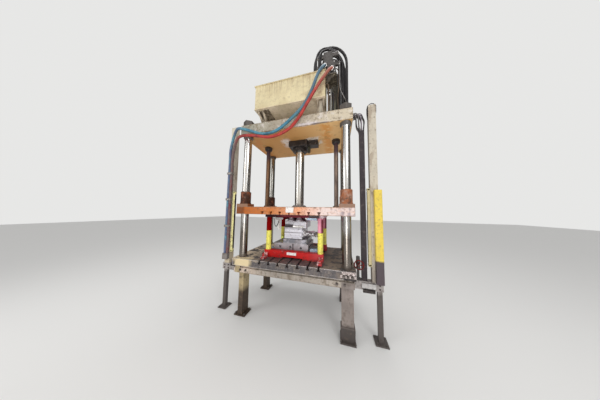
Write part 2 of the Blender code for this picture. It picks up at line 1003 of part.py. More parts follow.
def build_manifold():
    low = (manifold_x, manifold_y, manifold_bottom)
    high = (manifold_x + manifold_length, manifold_y + manifold_depth, manifold_bottom + manifold_height)
    block = box("valve_manifold", low, high, "grimy_black", 0.006)
    side_y = (low[1] + high[1]) / 2
    stack = box(
        "valve_stack",
        (low[0] + 0.03, side_y - valve_stack_width / 2, high[2] - 0.01),
        (high[0] - 0.03, side_y + valve_stack_width / 2, high[2] + valve_stack_rise),
    )
    front_y = low[1] + front_valve_setback
    front = box(
        "front_valve",
        (low[0] + front_valve_inset, front_y, high[2] - 0.01),
        (high[0] - front_valve_inset, front_y + front_valve_width, high[2] + front_valve_rise),
    )
    weld(block, stack, front)
    coils = (
        ("stack", side_y, high[2] + solenoid_diameter / 2 + 0.001, 0.03),
        ("front", front_y + front_valve_width / 2, high[2] + front_valve_rise * 0.75, front_valve_inset),
    )
    for name, y, z, inset in coils:
        left = low[0] + inset - solenoid_reach
        right = high[0] - inset + solenoid_reach
        weld(block, rod("solenoid_" + name, solenoid_diameter, left, right, (0, y, z), axis="X", sides=16))
    for name, place in hose_bases.items():
        nipple = turned(
            "nipple_" + name,
            [
                (0, nipple_length),
                (0.022, nipple_length),
                (0.028, nipple_length - 0.010),
                (0.028, nipple_length - 0.035),
                (0.034, nipple_length - 0.040),
                (0.034, -0.01),
                (0, -0.01),
            ],
            (0, 0, 0),
            sides=16,
        )
        nipple.matrix_world = Matrix.Translation(place) @ Matrix.Rotation(math.radians(135), 4, "X")
        weld(block, nipple)
    plate_low = tank_top + 0.004 + seat_gap
    bracket = box(
        "manifold_bracket",
        (manifold_x - 0.03, low[1], plate_low),
        (high[0] + 0.02, high[1] + 0.03, manifold_bottom - seat_gap),
        "cream_paint",
    )
    side = tank_right_x + tank_flange + seat_gap
    drop_low = tank_top - 0.16
    weld(
        bracket,
        box("bracket_drop", (side, low[1], drop_low), (side + bracket_plate, high[1], plate_low + 0.004)),
    )
    for index, y in enumerate((low[1] + 0.012, high[1] - 0.024)):
        weld(
            bracket,
            extrusion(
                "bracket_rib_%d" % index,
                [
                    (side + 0.004, drop_low + 0.02),
                    (high[0], plate_low + 0.004),
                    (side + 0.004, plate_low + 0.004),
                ],
                -(y + 0.012),
                0.012,
                (0, 0, 0),
                "-Y",
            ),
        )


def hose_start(name):
    down = math.sqrt(0.5)
    reach = nipple_length + seat_gap
    x, y, z = hose_bases[name]
    return [(x, y - reach * down, z - reach * down), (x, y - (reach + 0.05) * down, z - (reach + 0.05) * down)]


def build_hoses():
    blue = hose_start("blue") + [
        (0.506, -0.565, 3.988),
        (0.478, -0.603, 3.913),
        (0.436, -0.618, 3.828),
        (0.400, -0.626, 3.726),
        (0.350, -0.635, 3.580),
        (0.272, -0.640, 3.419),
        (0.172, -0.643, 3.280),
        (0.041, -0.643, 3.167),
        (-0.087, -0.640, 3.072),
        (-0.222, -0.635, 3.001),
        (-0.362, -0.630, 2.979),
        (-0.506, -0.625, 2.993),
        (-0.656, -0.622, 3.050),
        (-0.818, -0.614, 3.118),
        (-0.975, -0.600, 3.164),
        (-1.092, -0.535, 3.138),
        (-1.188, -0.478, 3.026),
        (blue_drop_x, hose_y, 2.860),
        (blue_drop_x, hose_y, 2.700),
    ]
    red = hose_start("red") + [
        (0.605, -0.562, 3.915),
        (0.556, -0.600, 3.820),
        (0.478, -0.627, 3.692),
        (0.405, -0.645, 3.560),
        (0.330, -0.655, 3.430),
        (0.254, -0.658, 3.304),
        (0.159, -0.660, 3.146),
        (0.041, -0.660, 3.014),
        (-0.084, -0.658, 2.944),
        (-0.217, -0.655, 2.907),
        (-0.351, -0.650, 2.902),
        (-0.495, -0.645, 2.935),
        (-0.690, -0.632, 2.985),
        (-0.862, -0.608, 3.015),
        (-1.000, -0.570, 3.008),
        (-1.110, -0.500, 2.930),
        (-1.175, hose_y, 2.810),
        (red_drop_x, hose_y, 2.690),
        (red_drop_x, hose_y, 2.560),
    ]
    for name, points, drop_x in (("blue_hose", blue, blue_drop_x), ("red_hose", red, red_drop_x)):
        last = points[-1][2]
        end = hose_socket_top + seat_gap
        count = 5
        for index in range(1, count + 1):
            points.append((drop_x, hose_y, last + (end - last) * index / count))
        tube(name, smooth_route(points, 0.085), signal_hose_diameter, name, 2)


hose_bases = {
    "blue": (manifold_x + 0.075, manifold_y, manifold_bottom + 0.160),
    "red": (manifold_x + 0.185, manifold_y, manifold_bottom + 0.085),
}
hose_y = post_y - post_side / 2 - hose_rail_plate - hose_stand_off
blue_drop_x = -(post_outer_x - hose_stand_off)
red_drop_x = -(post_inner_x + hose_stand_off - hose_rail_shift)


def build_hose_rail():
    front = post_y - post_side / 2 - seat_gap
    left = -(post_outer_x - hose_rail_inset)
    right = -(post_inner_x + hose_rail_inset)
    rail = box(
        "hose_rail",
        (left, front - hose_rail_plate, hose_rail_bottom),
        (right, front, hose_rail_top),
        "dark_purple_grey",
    )
    for index in range(3):
        z = hose_rail_top - hose_clamp_pitch * (index + 0.375)
        weld(
            rail,
            box(
                "hose_clamp_%d" % index,
                (left - hose_rail_inset, hose_y - hose_clamp_half, z),
                (right + hose_rail_inset, front - hose_rail_plate / 2, z + hose_clamp_height),
            ),
        )
    weld(
        rail,
        box(
            "hose_socket_block",
            (left - hose_rail_inset, hose_y - hose_socket_half, hose_rail_bottom),
            (right + hose_rail_inset, front - hose_rail_plate / 2, hose_socket_top),
        ),
    )
    hole = signal_hose_diameter + 4 * seat_gap
    for index, x in enumerate((blue_drop_x, red_drop_x)):
        cut(
            rail,
            rod(
                "clamp_hole_%d" % index, hole, hose_socket_top + hose_rail_plate, hose_rail_top, (x, hose_y, 0),
                sides=20,
            ),
        )


def build_black_pipes():
    top = tank_top + 0.004 + seat_gap
    crown = crown_top + seat_gap
    left = Vector((tank_right_x - tank_pipe_inset, tank_pipe_left_y, top))
    right = Vector((crown_length / 2 - tank_pipe_margin, tank_pipe_right_y, crown))
    shoulder = top + tank_pipe_lift
    outer = [left, Vector((left.x, left.y, shoulder - 0.15))]
    for index in range(9):
        angle = math.pi * index / 8
        place = left.lerp(right, (1 - math.cos(angle)) / 2)
        outer.append((place.x, place.y, shoulder + tank_pipe_rise * math.sin(angle)))
    outer += [(right.x, right.y, shoulder - 0.30), (right.x, right.y, crown + 0.30), right]
    cap_top = crown + return_barrel_height
    stack_top = manifold_bottom + manifold_height + valve_stack_rise + seat_gap
    start = Vector((manifold_x + manifold_length / 2, manifold_y + manifold_depth / 2, stack_top))
    end = Vector((return_x, 0, cap_top + seat_gap))
    reach = (end.xy - start.xy).length / 2
    inner = [start]
    for index in range(9):
        angle = math.pi * index / 8
        place = start.lerp(end, (1 - math.cos(angle)) / 2)
        inner.append((place.x, place.y, place.z + 0.05 + reach * math.sin(angle)))
    inner.append(end)
    tube("tank_pipe", smooth_route(outer, 0.075), black_pipe_diameter, "black_pipe", 2)
    tube("cylinder_pipe", smooth_route(inner, 0.050), black_pipe_diameter * 0.8, "black_pipe", 2)


def build_posts():
    half = post_side / 2
    bottom = arm_top + seat_gap
    for side, word in ((-1, "left"), (1, "right")):
        xs = sorted((side * post_inner_x, side * post_outer_x))
        post = box(
            "curtain_post_" + word,
            (xs[0], post_y - half, bottom),
            (xs[1], post_y + half, post_top),
            "cream_paint",
        )
        wall = post_wall
        cut(
            post,
            box(
                "post_hollow_" + word,
                (xs[0] + wall, post_y - half + wall, bottom - 0.02),
                (xs[1] - wall, post_y + half - wall, post_top - wall),
            ),
        )
        inner = side * (post_inner_x - seat_gap)
        outer = side * (post_inner_x - seat_gap - curtain_width)
        low_y = post_y - half + 0.004
        box(
            "light_curtain_" + word,
            (min(inner, outer), low_y, curtain_bottom),
            (max(inner, outer), low_y + curtain_depth, curtain_top),
            "yellow_paint",
            0.004,
        )


def build_outriggers():
    arm_low = arm_top - arm_height
    bed_end = bed_length / 2 + seat_gap
    half = post_side / 2
    for side, word in ((-1, "left"), (1, "right")):
        reach = post_outer_x + 0.036
        xs = sorted((side * bed_end, side * reach))
        arm = box(
            "outrigger_" + word,
            (xs[0], post_y - half, arm_low),
            (xs[1], post_y + half, arm_top),
            "grey_paint",
            0.004,
        )
        leg_x = side * (post_outer_x - 0.002)
        leg = outrigger_leg / 2
        weld(
            arm,
            box(
                "outrigger_leg_" + word,
                (leg_x - leg, post_y - leg + 0.015, 0.010),
                (leg_x + leg, post_y + leg + 0.015, arm_low + 0.02),
            ),
            box(
                "outrigger_foot_" + word,
                (leg_x - outrigger_foot / 2, post_y - outrigger_foot / 2 + 0.015, 0),
                (leg_x + outrigger_foot / 2, post_y + outrigger_foot / 2 + 0.015, 0.016),
            ),
            extrusion(
                "outrigger_brace_" + word,
                [
                    (side * bed_end, arm_low + 0.01),
                    (side * (bed_end + 0.20), arm_low + 0.01),
                    (side * bed_end, bed_bottom + 0.003),
                ],
                -(post_y + 0.006),
                0.012,
                (0, 0, 0),
                "-Y",
            ),
        )


def build_cover():
    front = post_y - post_side / 2 - seat_gap
    left = post_outer_x - 0.062
    box(
        "scanner_cover",
        (left, front - cover_depth, arm_top + seat_gap),
        (left + cover_width, front, cover_top),
        "yellow_paint",
        0.006,
    )


def build_cable_channel():
    bottom = arm_top + seat_gap
    outline = channel_outline(cable_channel_width, cable_channel_depth, cable_channel_wall)
    left = cable_channel_x - cable_channel_width / 2
    shape = [(left + a, post_y - cable_channel_depth / 2 + b) for a, b in outline]
    extrusion(
        "cable_channel", shape, bottom, cable_channel_top - bottom, (0, 0, 0), "Z", "dark_purple_grey"
    )


def build_valve():
    ball = valve_ball_diameter / 2
    bottom = arm_top + seat_gap
    pipe = valve_pipe_diameter / 2
    y = post_y + 0.010
    z = valve_axis_height
    place = (valve_x, y, 0)
    body = turned(
        "stop_valve",
        [
            (0, z + 0.085),
            (pipe + 0.008, z + 0.085),
            (pipe + 0.008, z + 0.055),
            (ball * 0.8, z + 0.03),
            (ball, z),
            (ball * 0.8, z - 0.03),
            (pipe + 0.008, z - 0.055),
            (pipe + 0.008, z - 0.085),
            (pipe, z - 0.085),
            (pipe, bottom + 0.016),
            (pipe + 0.018, bottom + 0.016),
            (pipe + 0.018, bottom),
            (0, bottom),
        ],
        place,
        "grimy_black",
        sides=20,
    )
    bonnet = turned(
        "valve_bonnet",
        [
            (0, 0.118),
            (valve_stem_diameter / 2, 0.118),
            (valve_stem_diameter / 2, 0.080),
            (0.016, 0.080),
            (0.020, 0.050),
            (0.026, 0.045),
            (0.026, 0),
            (0, 0),
        ],
        (valve_x, y, z),
        axis="-Y",
        sides=16,
    )
    weld(body, bonnet)
    wheel_y = y - 0.108
    wheel_turn = bpy.data.objects.new("wheel_axis", None)
    wheel_turn.location = (valve_x, wheel_y, z)
    parts.objects.link(wheel_turn)
    build_wheel(wheel_turn)


def build_wheel(carrier):
    place = carrier.location
    bm = bmesh.new()
    rim_radius = wheel_diameter / 2 - wheel_rim / 2
    around = 24
    ring = 8
    circles = []
    for index in range(around):
        angle = 2 * math.pi * index / around
        circle = []
        for step in range(ring):
            turn = 2 * math.pi * step / ring
            reach = rim_radius + wheel_rim / 2 * math.cos(turn)
            circle.append(
                bm.verts.new(
                    (reach * math.cos(angle), wheel_rim / 2 * math.sin(turn), reach * math.sin(angle))
                )
            )
        circles.append(circle)
    for index in range(around):
        here = circles[index]
        there = circles[(index + 1) % around]
        for step in range(ring):
            after = (step + 1) % ring
            bm.faces.new((here[step], here[after], there[after], there[step]))
    wheel = add_object("handwheel", mesh_from(bm, "handwheel"), "red_paint")
    wheel.location = place
    hub = rod("wheel_hub", 0.034, -0.012, 0.010, place, axis="Y", sides=16)
    weld(wheel, hub)
    for index in range(wheel_spokes):
        angle = 2 * math.pi * index / wheel_spokes + 0.3
        spoke = rod("wheel_spoke_%d" % index, wheel_spoke, 0.006, rim_radius, place, sides=8)
        spoke.matrix_world = Matrix.Translation(place) @ Matrix.Rotation(angle, 4, "Y")
        weld(wheel, spoke)
    bore = valve_stem_diameter + 2 * seat_gap
    cut(wheel, rod("wheel_bore", bore, -0.03, 0.03, place, axis="Y", sides=16))
    hold(wheel, carrier)


def hold(thing, carrier):
    bpy.context.view_layer.update()
    thing.parent = carrier
    thing.matrix_parent_inverse = carrier.matrix_world.inverted()


def weld_toe_clamps(rail, word, sy, base):
    face = die_post_y + rail_depth / 2
    toe = face + clamp_reach
    middle = face + clamp_reach * 0.70
    slope = ((face - 0.010, clamp_height), (face + 0.020, clamp_height), (face + 0.065, clamp_toe_height))
    outline = [(-base, sy * (face - 0.010)), (-base, sy * toe), (-(base + clamp_toe_height), sy * toe)]
    outline += [(-(base + rise), sy * y) for y, rise in reversed(slope)]
    for sx, side in ((-1, "left"), (1, "right")):
        x = sx * 3 * slot_pitch
        label = "_%s_%s" % (word, side)
        nut_low = base + clamp_toe_height - 0.002
        nut_high = nut_low + clamp_nut_height
        weld(
            rail,
            extrusion("toe_clamp" + label, outline, x - clamp_width / 2, clamp_width, (0, 0, 0), "X"),
            prism("clamp_nut" + label, clamp_nut_flats, nut_low, nut_high, (x, sy * middle, 0)),
            rod(
                "clamp_stud" + label, clamp_stud_diameter, nut_high - 0.010, nut_high + 0.026,
                (x, sy * middle, 0), sides=16,
            ),
        )


def build_lower_die():
    base = bolster_top + seat_gap
    half = rail_length / 2
    for sy, word in ((-1, "front"), (1, "rear")):
        y = sy * die_post_y
        rail = box(
            "die_rail_" + word,
            (-half, y - rail_depth / 2, base),
            (half, y + rail_depth / 2, rail_top),
            "red_paint",
            0.005,
        )
        window_half = 0.17
        cut(
            rail,
            box(
                "rail_window_" + word,
                (-window_half, y - rail_depth, base - 0.02),
                (window_half, y + rail_depth, base + 0.022),
            ),
        )
        weld_toe_clamps(rail, word, sy, base)
        for sx, side in ((-1, "left"), (1, "right")):
            radius = die_post_diameter / 2
            turned(
                "stop_post_%s_%s" % (word, side),
                [
                    (0, stop_height - seat_gap),
                    (radius - 0.006, stop_height - seat_gap),
                    (radius, stop_height - 0.006),
                    (radius, rail_top + seat_gap),
                    (0, rail_top + seat_gap),
                ],
                (sx * die_post_x, y, 0),
                "yellow_paint",
                sides=24,
            )
    shoe_y = die_post_y - rail_depth / 2 - seat_gap
    shoe_top = base + lower_shoe_height
    box(
        "lower_die_shoe",
        (-lower_shoe_length / 2, -shoe_y, base),
        (lower_shoe_length / 2, shoe_y, shoe_top),
        "die_steel",
        0.004,
    )
    low = lower_die_bottom
    depth = lower_die_depth / 2
    outline = [
        (lower_die_left, low),
        (lower_die_right, low),
        (lower_die_right, lower_die_shoulder),
        (lower_die_step_right, lower_die_shoulder),
        (lower_die_step_right, lower_die_top),
        (lower_die_step_left, lower_die_top),
        (lower_die_step_left, lower_die_shoulder),
        (lower_die_left, lower_die_shoulder),
    ]
    lower = extrusion("lower_die", outline, -depth, lower_die_depth, (0, 0, 0), "-Y", "die_steel")
    bevel(lower, 0.005)
    middle_z = (low + lower_die_shoulder) / 2
    span = lower_die_right - lower_die_left
    for index in range(3):
        x = lower_die_left + span * (0.20 + 0.30 * index)
        cut(
            lower,
            rod("die_hole_%d" % index, die_hole, -depth - 0.03, -depth + 0.05, (x, 0, middle_z), axis="Y",
                sides=20),
        )


def weld_core_cylinder(upper):
    z = upper_die_shoulder - core_cylinder_drop
    side = upper_die_right - 0.010
    half = core_flange_side / 2
    flange = side + 0.010 + core_flange_plate
    cap = flange + core_barrel_length
    back = cap + core_cap_length
    place = (0, core_cylinder_y, z)
    weld(
        upper,
        box(
            "core_flange",
            (side, core_cylinder_y - half, z - half),
            (flange, core_cylinder_y + half, z + half),
        ),
        rod("core_barrel", core_barrel_diameter, flange - 0.005, cap, place, axis="X", sides=20),
        rod("core_cap", core_cap_diameter, cap - 0.005, back, place, axis="X", sides=20),
        rod("core_rod", core_rod_diameter, back - 0.010, back + core_rod_out, place, axis="X", sides=16),
    )


def build_upper_die(carrier):
    top = platen_underside - seat_gap
    plate_low = upper_shoe_bottom
    half_x = upper_shoe_length / 2
    half_y = upper_shoe_depth / 2
    shoe = box(
        "upper_die_shoe",
        (-half_x, -half_y, plate_low),
        (half_x, half_y, top),
        "die_steel",
        0.004,
    )
    for name, (sx, sy) in corners.items():
        place = (sx * die_post_x, sy * die_post_y, 0)
        weld(shoe, rod("upper_post_" + name, die_post_diameter, stop_height, plate_low + 0.01, place,
                       sides=24))
    for word, (left, right) in (("left", left_riser_x), ("right", right_riser_x)):
        weld(
            shoe,
            box(
                "riser_bar_" + word,
                (left, -riser_depth / 2, plate_low - riser_bottom_drop),
                (right, riser_depth / 2, plate_low + 0.010),
            ),
        )
    depth = upper_die_depth / 2
    low = upper_die_bottom
    high = plate_low - seat_gap
    upper = box(
        "upper_die",
        (upper_die_left, -depth, low),
        (upper_die_right, depth, upper_die_shoulder),
        "die_steel",
        0.006,
    )
    for index in range(3):
        z = low + 0.045 + index * die_groove_pitch
        cut(
            upper,
            box(
                "die_band_%d" % index,
                (upper_die_left - 0.02, -depth - 0.02, z),
                (upper_die_right + 0.02, -depth + die_groove_depth, z + die_groove),
            ),
        )
    head_depth = head_block_depth / 2
    head = box(
        "die_head_block",
        (head_block_left, -head_depth, upper_die_shoulder - 0.01),
        (head_block_right, head_depth, head_block_top),
        edge=0.006,
    )
    weld(upper, head)
    weld_core_cylinder(upper)
    head_middle = (upper_die_left + upper_die_right) / 2
    for side in (-1, 1):
        for end in (-1, 1):
            cone = turned(
                "die_cone_%d_%d" % (side, end),
                [
                    (0, high),
                    (cone_neck_diameter / 2, high),
                    (cone_neck_diameter / 2, high - 0.015),
                    (cone_base_diameter / 2, head_block_top + 0.012),
                    (cone_base_diameter / 2, head_block_top - 0.010),
                    (0, head_block_top - 0.010),
                ],
                (head_middle + side * cone_pitch / 2, end * (head_depth - cone_base_diameter / 2 - 0.01), 0),
                sides=20,
            )
            weld(upper, cone)
    hold(shoe, carrier)
    hold(upper, carrier)


def build_platen(carrier):
    platen = slotted_plate(
        "moving_platen", platen_length, platen_depth, platen_underside, platen_top, False, "orange_paint"
    )
    for name, (sx, sy) in corners.items():
        far_x = sx * platen_length / 2
        near_x = sx * (column_x - platen_boss_inner_x)
        far_y = sy * platen_depth / 2
        near_y = sy * (column_y - platen_boss_inner_y)
        weld(
            platen,
            box(
                "platen_boss_" + name,
                (min(far_x, near_x), min(far_y, near_y), platen_top - 0.03),
                (max(far_x, near_x), max(far_y, near_y), boss_top),
            ),
        )
    for name, (sx, sy) in corners.items():
        place = (sx * column_x, sy * column_y, 0)
        hole = column_diameter + 4 * slide_gap
        cut(platen, rod("platen_bore_" + name, hole, platen_underside - 0.02, boss_top + 0.02, place,
                        sides=24))
    hold(platen, carrier)
    bore = column_diameter / 2 + slide_gap
    outer = bushing_diameter / 2
    low = boss_top + seat_gap
    high = low + bushing_height
    profile = [
        (outer - 0.008, high),
        (outer, high - 0.008),
        (outer, low + 0.022),
        (outer + 0.006, low + 0.018),
        (outer + 0.006, low),
        (bore, low),
        (bore, high),
    ]
    for name, (sx, sy) in corners.items():
        place = (sx * column_x, sy * column_y, 0)
        bushing = turned("guide_bushing_" + name, profile, place, "rust_paint", sides=24)
        hold(bushing, carrier)


def build_rods(carrier):
    foot = platen_top + seat_gap
    base = crown_top + seat_gap
    lift = base + ram_piston_lift
    radius = ram_rod_diameter / 2
    bore = ram_bore / 2 - slide_gap
    ram = turned(
        "ram_rod",
        [
            (0, lift + ram_piston_height),
            (bore, lift + ram_piston_height),
            (bore, lift),
            (radius, lift),
            (radius, foot + ram_foot_height),
            (ram_foot_diameter / 2, foot + ram_foot_height),
            (ram_foot_diameter / 2, foot),
            (0, foot),
        ],
        (0, 0, 0),
        "chrome",
        sides=32,
    )
    hold(ram, carrier)
    radius = return_rod_diameter / 2
    bore = return_bore / 2 - slide_gap
    nut = return_foot_diameter / 2
    profile = [
        (0, lift + return_piston_height),
        (bore, lift + return_piston_height),
        (bore, lift),
        (radius, lift),
        (radius, foot + return_foot_height),
        (nut - 0.006, foot + return_foot_height),
        (nut, foot + return_foot_height - 0.008),
        (nut, foot),
        (0, foot),
    ]
    for side, word in ((-1, "left"), (1, "right")):
        place = (side * return_x, 0, 0)
        hold(turned("return_rod_" + word, profile, place, "chrome", sides=24), carrier)


def main():
    clear_scene()
    make_finishes()
    build_bed()
    build_bolster()
    build_legs()
    build_columns()
    build_crown()
    build_ram_cylinder()
    build_ram_gland()
    build_return_cylinders()
    build_tank()
    build_filler()
    build_stands()
    build_motor()
    outlet_x, outlet_z = build_pump()
    build_pressure_pipe(outlet_x, outlet_z)
    build_manifold()
    build_black_pipes()
    build_posts()
    build_outriggers()
    build_cover()
    build_cable_channel()
    build_hose_rail()
    build_hoses()
    build_valve()
    build_lower_die()
    platen_slide = bpy.data.objects.new("platen_slide", None)
    platen_slide.location = (0, 0, platen_underside)
    parts.objects.link(platen_slide)
    build_platen(platen_slide)
    build_rods(platen_slide)
    build_upper_die(platen_slide)


main()
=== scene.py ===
import json
import math

import bpy
from mathutils import Matrix, Vector

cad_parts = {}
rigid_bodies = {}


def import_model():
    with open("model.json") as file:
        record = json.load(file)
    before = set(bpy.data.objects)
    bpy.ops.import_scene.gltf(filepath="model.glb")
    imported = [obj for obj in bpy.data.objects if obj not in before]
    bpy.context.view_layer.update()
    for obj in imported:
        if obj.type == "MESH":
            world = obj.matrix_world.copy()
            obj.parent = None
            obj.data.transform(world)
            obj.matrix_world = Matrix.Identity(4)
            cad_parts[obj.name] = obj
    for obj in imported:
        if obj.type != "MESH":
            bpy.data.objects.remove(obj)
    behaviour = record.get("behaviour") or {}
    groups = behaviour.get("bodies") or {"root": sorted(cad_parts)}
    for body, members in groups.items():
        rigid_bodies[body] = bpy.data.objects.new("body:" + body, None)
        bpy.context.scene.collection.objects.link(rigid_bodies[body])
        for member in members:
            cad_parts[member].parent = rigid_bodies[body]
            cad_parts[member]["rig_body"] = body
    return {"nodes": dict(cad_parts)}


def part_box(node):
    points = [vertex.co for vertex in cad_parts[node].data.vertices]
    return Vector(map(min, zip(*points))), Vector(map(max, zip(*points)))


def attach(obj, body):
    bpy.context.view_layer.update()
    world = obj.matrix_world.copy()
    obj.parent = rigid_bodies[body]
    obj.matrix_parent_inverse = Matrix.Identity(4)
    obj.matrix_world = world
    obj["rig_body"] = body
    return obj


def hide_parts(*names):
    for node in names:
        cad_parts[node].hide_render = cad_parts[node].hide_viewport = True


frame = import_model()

nodes = frame["nodes"]
scene = bpy.context.scene
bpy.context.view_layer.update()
scene.view_settings.view_transform = "Standard"
print("frame loaded:", len(nodes), "nodes")


# camera: the photograph's viewpoint, a little right of the middle, at about eye height

cameraSpec = {
    "place": (0.724, -2.584, 1.724),
    "yawLeft": 0.268,
    "pitchUp": 0.080,
    "roll": 0.016,
    "lens": 8.36,
    "sensor": 36,
    "clip": (0.05, 100),
}


def placeCamera(spec):
    camera = bpy.data.cameras.new("viewpoint")
    camera.sensor_fit = "HORIZONTAL"
    camera.sensor_width = spec["sensor"]
    camera.lens = spec["lens"]
    camera.clip_start, camera.clip_end = spec["clip"]
    holder = bpy.data.objects.new("viewpoint", camera)
    scene.collection.objects.link(holder)
    yaw, pitch, roll = spec["yawLeft"], spec["pitchUp"], spec["roll"]
    forward = Vector((-math.sin(yaw) * math.cos(pitch), math.cos(yaw) * math.cos(pitch), math.sin(pitch)))
    level = Vector((math.cos(yaw), math.sin(yaw), 0))
    over = level.cross(forward)
    right = math.cos(roll) * level + math.sin(roll) * over
    upward = -math.sin(roll) * level + math.cos(roll) * over
    turn = Matrix((right, upward, -forward)).transposed().to_4x4()
    holder.matrix_world = Matrix.Translation(Vector(spec["place"])) @ turn
    scene.camera = holder


placeCamera(cameraSpec)


# node helpers for the finishes

def addNode(tree, kind, inputs=None, **settings):
    node = tree.nodes.new(kind)
    for key, value in settings.items():
        setattr(node, key, value)
    for key, value in (inputs or {}).items():
        if isinstance(value, bpy.types.NodeSocket):
            tree.links.new(value, node.inputs[key])
        else:
            node.inputs[key].default_value = value
    return node


def mathOf(tree, operation, first, second=0.0):
    return addNode(tree, "ShaderNodeMath", {0: first, 1: second}, operation=operation).outputs[0]


def rangeOf(tree, value, start, end):
    node = addNode(tree, "ShaderNodeMapRange", {0: value, 1: start, 2: end, 3: 0.0, 4: 1.0})
    node.clamp = True
    return node.outputs[0]


def mixColour(tree, factor, first, second):
    node = addNode(tree, "ShaderNodeMix", data_type="RGBA")
    for index, value in ((0, factor), (6, first), (7, second)):
        if isinstance(value, bpy.types.NodeSocket):
            tree.links.new(value, node.inputs[index])
        else:
            node.inputs[index].default_value = (*value, 1.0) if index else value
    return node.outputs[2]


def mixNumber(tree, factor, first, second):
    return addNode(tree, "ShaderNodeMix", {0: factor, 2: first, 3: second}, data_type="FLOAT").outputs[0]


def noiseOf(tree, place, size, detail=5.0, stretch=(1, 1, 1), seed=(0, 0, 0), grain=0.6):
    moved = addNode(tree, "ShaderNodeMapping", {"Vector": place, "Location": seed, "Scale": stretch})
    return addNode(tree, "ShaderNodeTexNoise", {"Vector": moved.outputs[0], "Scale": size, "Detail": detail,
                                                "Roughness": grain}).outputs[0]


coverSpec = {"patchGrain": 0.62, "limitNoise": 9.0, "edgeNoise": 34.0, "edgeMiddle": 0.52, "edgeFull": 0.55}


# how far a point of a block lies from the block's nearest edge: the middle one of the three distances to its faces
def edgeDistance(tree, axes, low, high):
    near = []
    for axis in range(3):
        toLow = mathOf(tree, "SUBTRACT", axes[axis], low[axis])
        toHigh = mathOf(tree, "SUBTRACT", high[axis], axes[axis])
        near.append(mathOf(tree, "MINIMUM", toLow, toHigh))
    small = mathOf(tree, "MINIMUM", near[0], near[1])
    large = mathOf(tree, "MAXIMUM", near[0], near[1])
    return mathOf(tree, "MAXIMUM", small, mathOf(tree, "MINIMUM", large, near[2]))


# one layer's cover from 0 to 1: a noise patch, limits along the axes and wear along a block's edges, multiplied
def coverOf(tree, place, axes, layer):
    parts = []
    if "patch" in layer:
        size, low, high = layer["patch"]
        noise = noiseOf(tree, place, size, stretch=layer.get("stretch", (1, 1, 1)),
                        seed=layer.get("seed", (0, 0, 0)), grain=coverSpec["patchGrain"])
        parts.append(rangeOf(tree, noise, low, high))
    for axis, start, end in layer.get("limits", ()):
        along = axes["xyz".index(axis)]
        if "ragged" in layer:
            wobble = noiseOf(tree, place, coverSpec["limitNoise"], seed=(3, 1, 7))
            shift = mathOf(tree, "MULTIPLY", mathOf(tree, "SUBTRACT", wobble, 0.5), layer["ragged"])
            along = mathOf(tree, "ADD", along, shift)
        parts.append(rangeOf(tree, along, start, end))
    if "edge" in layer:
        low, high, width, ragged = layer["edge"]
        away = edgeDistance(tree, axes, low, high)
        wobble = noiseOf(tree, place, coverSpec["edgeNoise"], seed=(5, 2, 9))
        shift = mathOf(tree, "MULTIPLY", mathOf(tree, "SUBTRACT", wobble, coverSpec["edgeMiddle"]), ragged)
        parts.append(rangeOf(tree, mathOf(tree, "ADD", away, shift), width, width * coverSpec["edgeFull"]))
    cover = parts[0]
    for more in parts[1:]:
        cover = mathOf(tree, "MULTIPLY", cover, more)
    return mathOf(tree, "MULTIPLY", cover, layer["amount"])


finishes = {}
finishDefaults = {
    "metal": 0.0, "gloss": 0.4, "tone": 0.12, "toneSize": 6.0, "toneStretch": (1, 1, 1),
    "bump": (160.0, 0.12, 0.0006), "bumpStretch": (1, 1, 1), "layers": (),
}
toneSpec = {"colour": (0.36, 0.64), "rough": (0.3, 0.7), "roughSpread": 0.14}


# a finish in layers over a base, each with its own cover, colour and roughness, and a fine bump
def layeredFinish(name, given):
    spec = {**finishDefaults, **given}
    material = bpy.data.materials.new(name)
    material.use_nodes = True
    tree = material.node_tree
    shader = tree.nodes["Principled BSDF"]
    shader.inputs["Metallic"].default_value = spec["metal"]
    shader.inputs["Specular IOR Level"].default_value = spec["gloss"]
    place = addNode(tree, "ShaderNodeTexCoord").outputs["Object"]
    split = addNode(tree, "ShaderNodeSeparateXYZ", {0: place})
    axes = [split.outputs[0], split.outputs[1], split.outputs[2]]
    tone = noiseOf(tree, place, spec["toneSize"], stretch=spec["toneStretch"], seed=(1, 4, 2))
    darker = tuple(part * (1 - spec["tone"]) for part in spec["colour"])
    lighter = tuple(min(1.0, part * (1 + spec["tone"])) for part in spec["colour"])
    colour = mixColour(tree, rangeOf(tree, tone, *toneSpec["colour"]), darker, lighter)
    spread = toneSpec["roughSpread"]
    rough = mixNumber(tree, rangeOf(tree, tone, *toneSpec["rough"]), spec["rough"] * (1 - spread),
                      min(1.0, spec["rough"] * (1 + spread)))
    metal = spec["metal"]
    metalLinked = any("metal" in layer for layer in spec["layers"])
    for layer in spec["layers"]:
        cover = coverOf(tree, place, axes, layer)
        colour = mixColour(tree, cover, colour, layer["colour"])
        rough = mixNumber(tree, cover, rough, layer["rough"])
        if metalLinked:
            metal = mixNumber(tree, cover, metal, layer.get("metal", spec["metal"]))
    tree.links.new(colour, shader.inputs["Base Color"])
    tree.links.new(rough, shader.inputs["Roughness"])
    if metalLinked:
        tree.links.new(metal, shader.inputs["Metallic"])
    size, strength, depth = spec["bump"]
    grain = noiseOf(tree, place, size, 3.0, spec["bumpStretch"], (7, 7, 1))
    relief = addNode(tree, "ShaderNodeBump", {"Strength": strength, "Distance": depth, "Height": grain})
    tree.links.new(relief.outputs[0], shader.inputs["Normal"])
    finishes[name] = material


# one layer of a finish: its colour, how rough it is and how much of it shows, then where it lies
def coat(colour, rough, amount=1.0, **where):
    return {"colour": colour, "rough": rough, "amount": amount, **where}


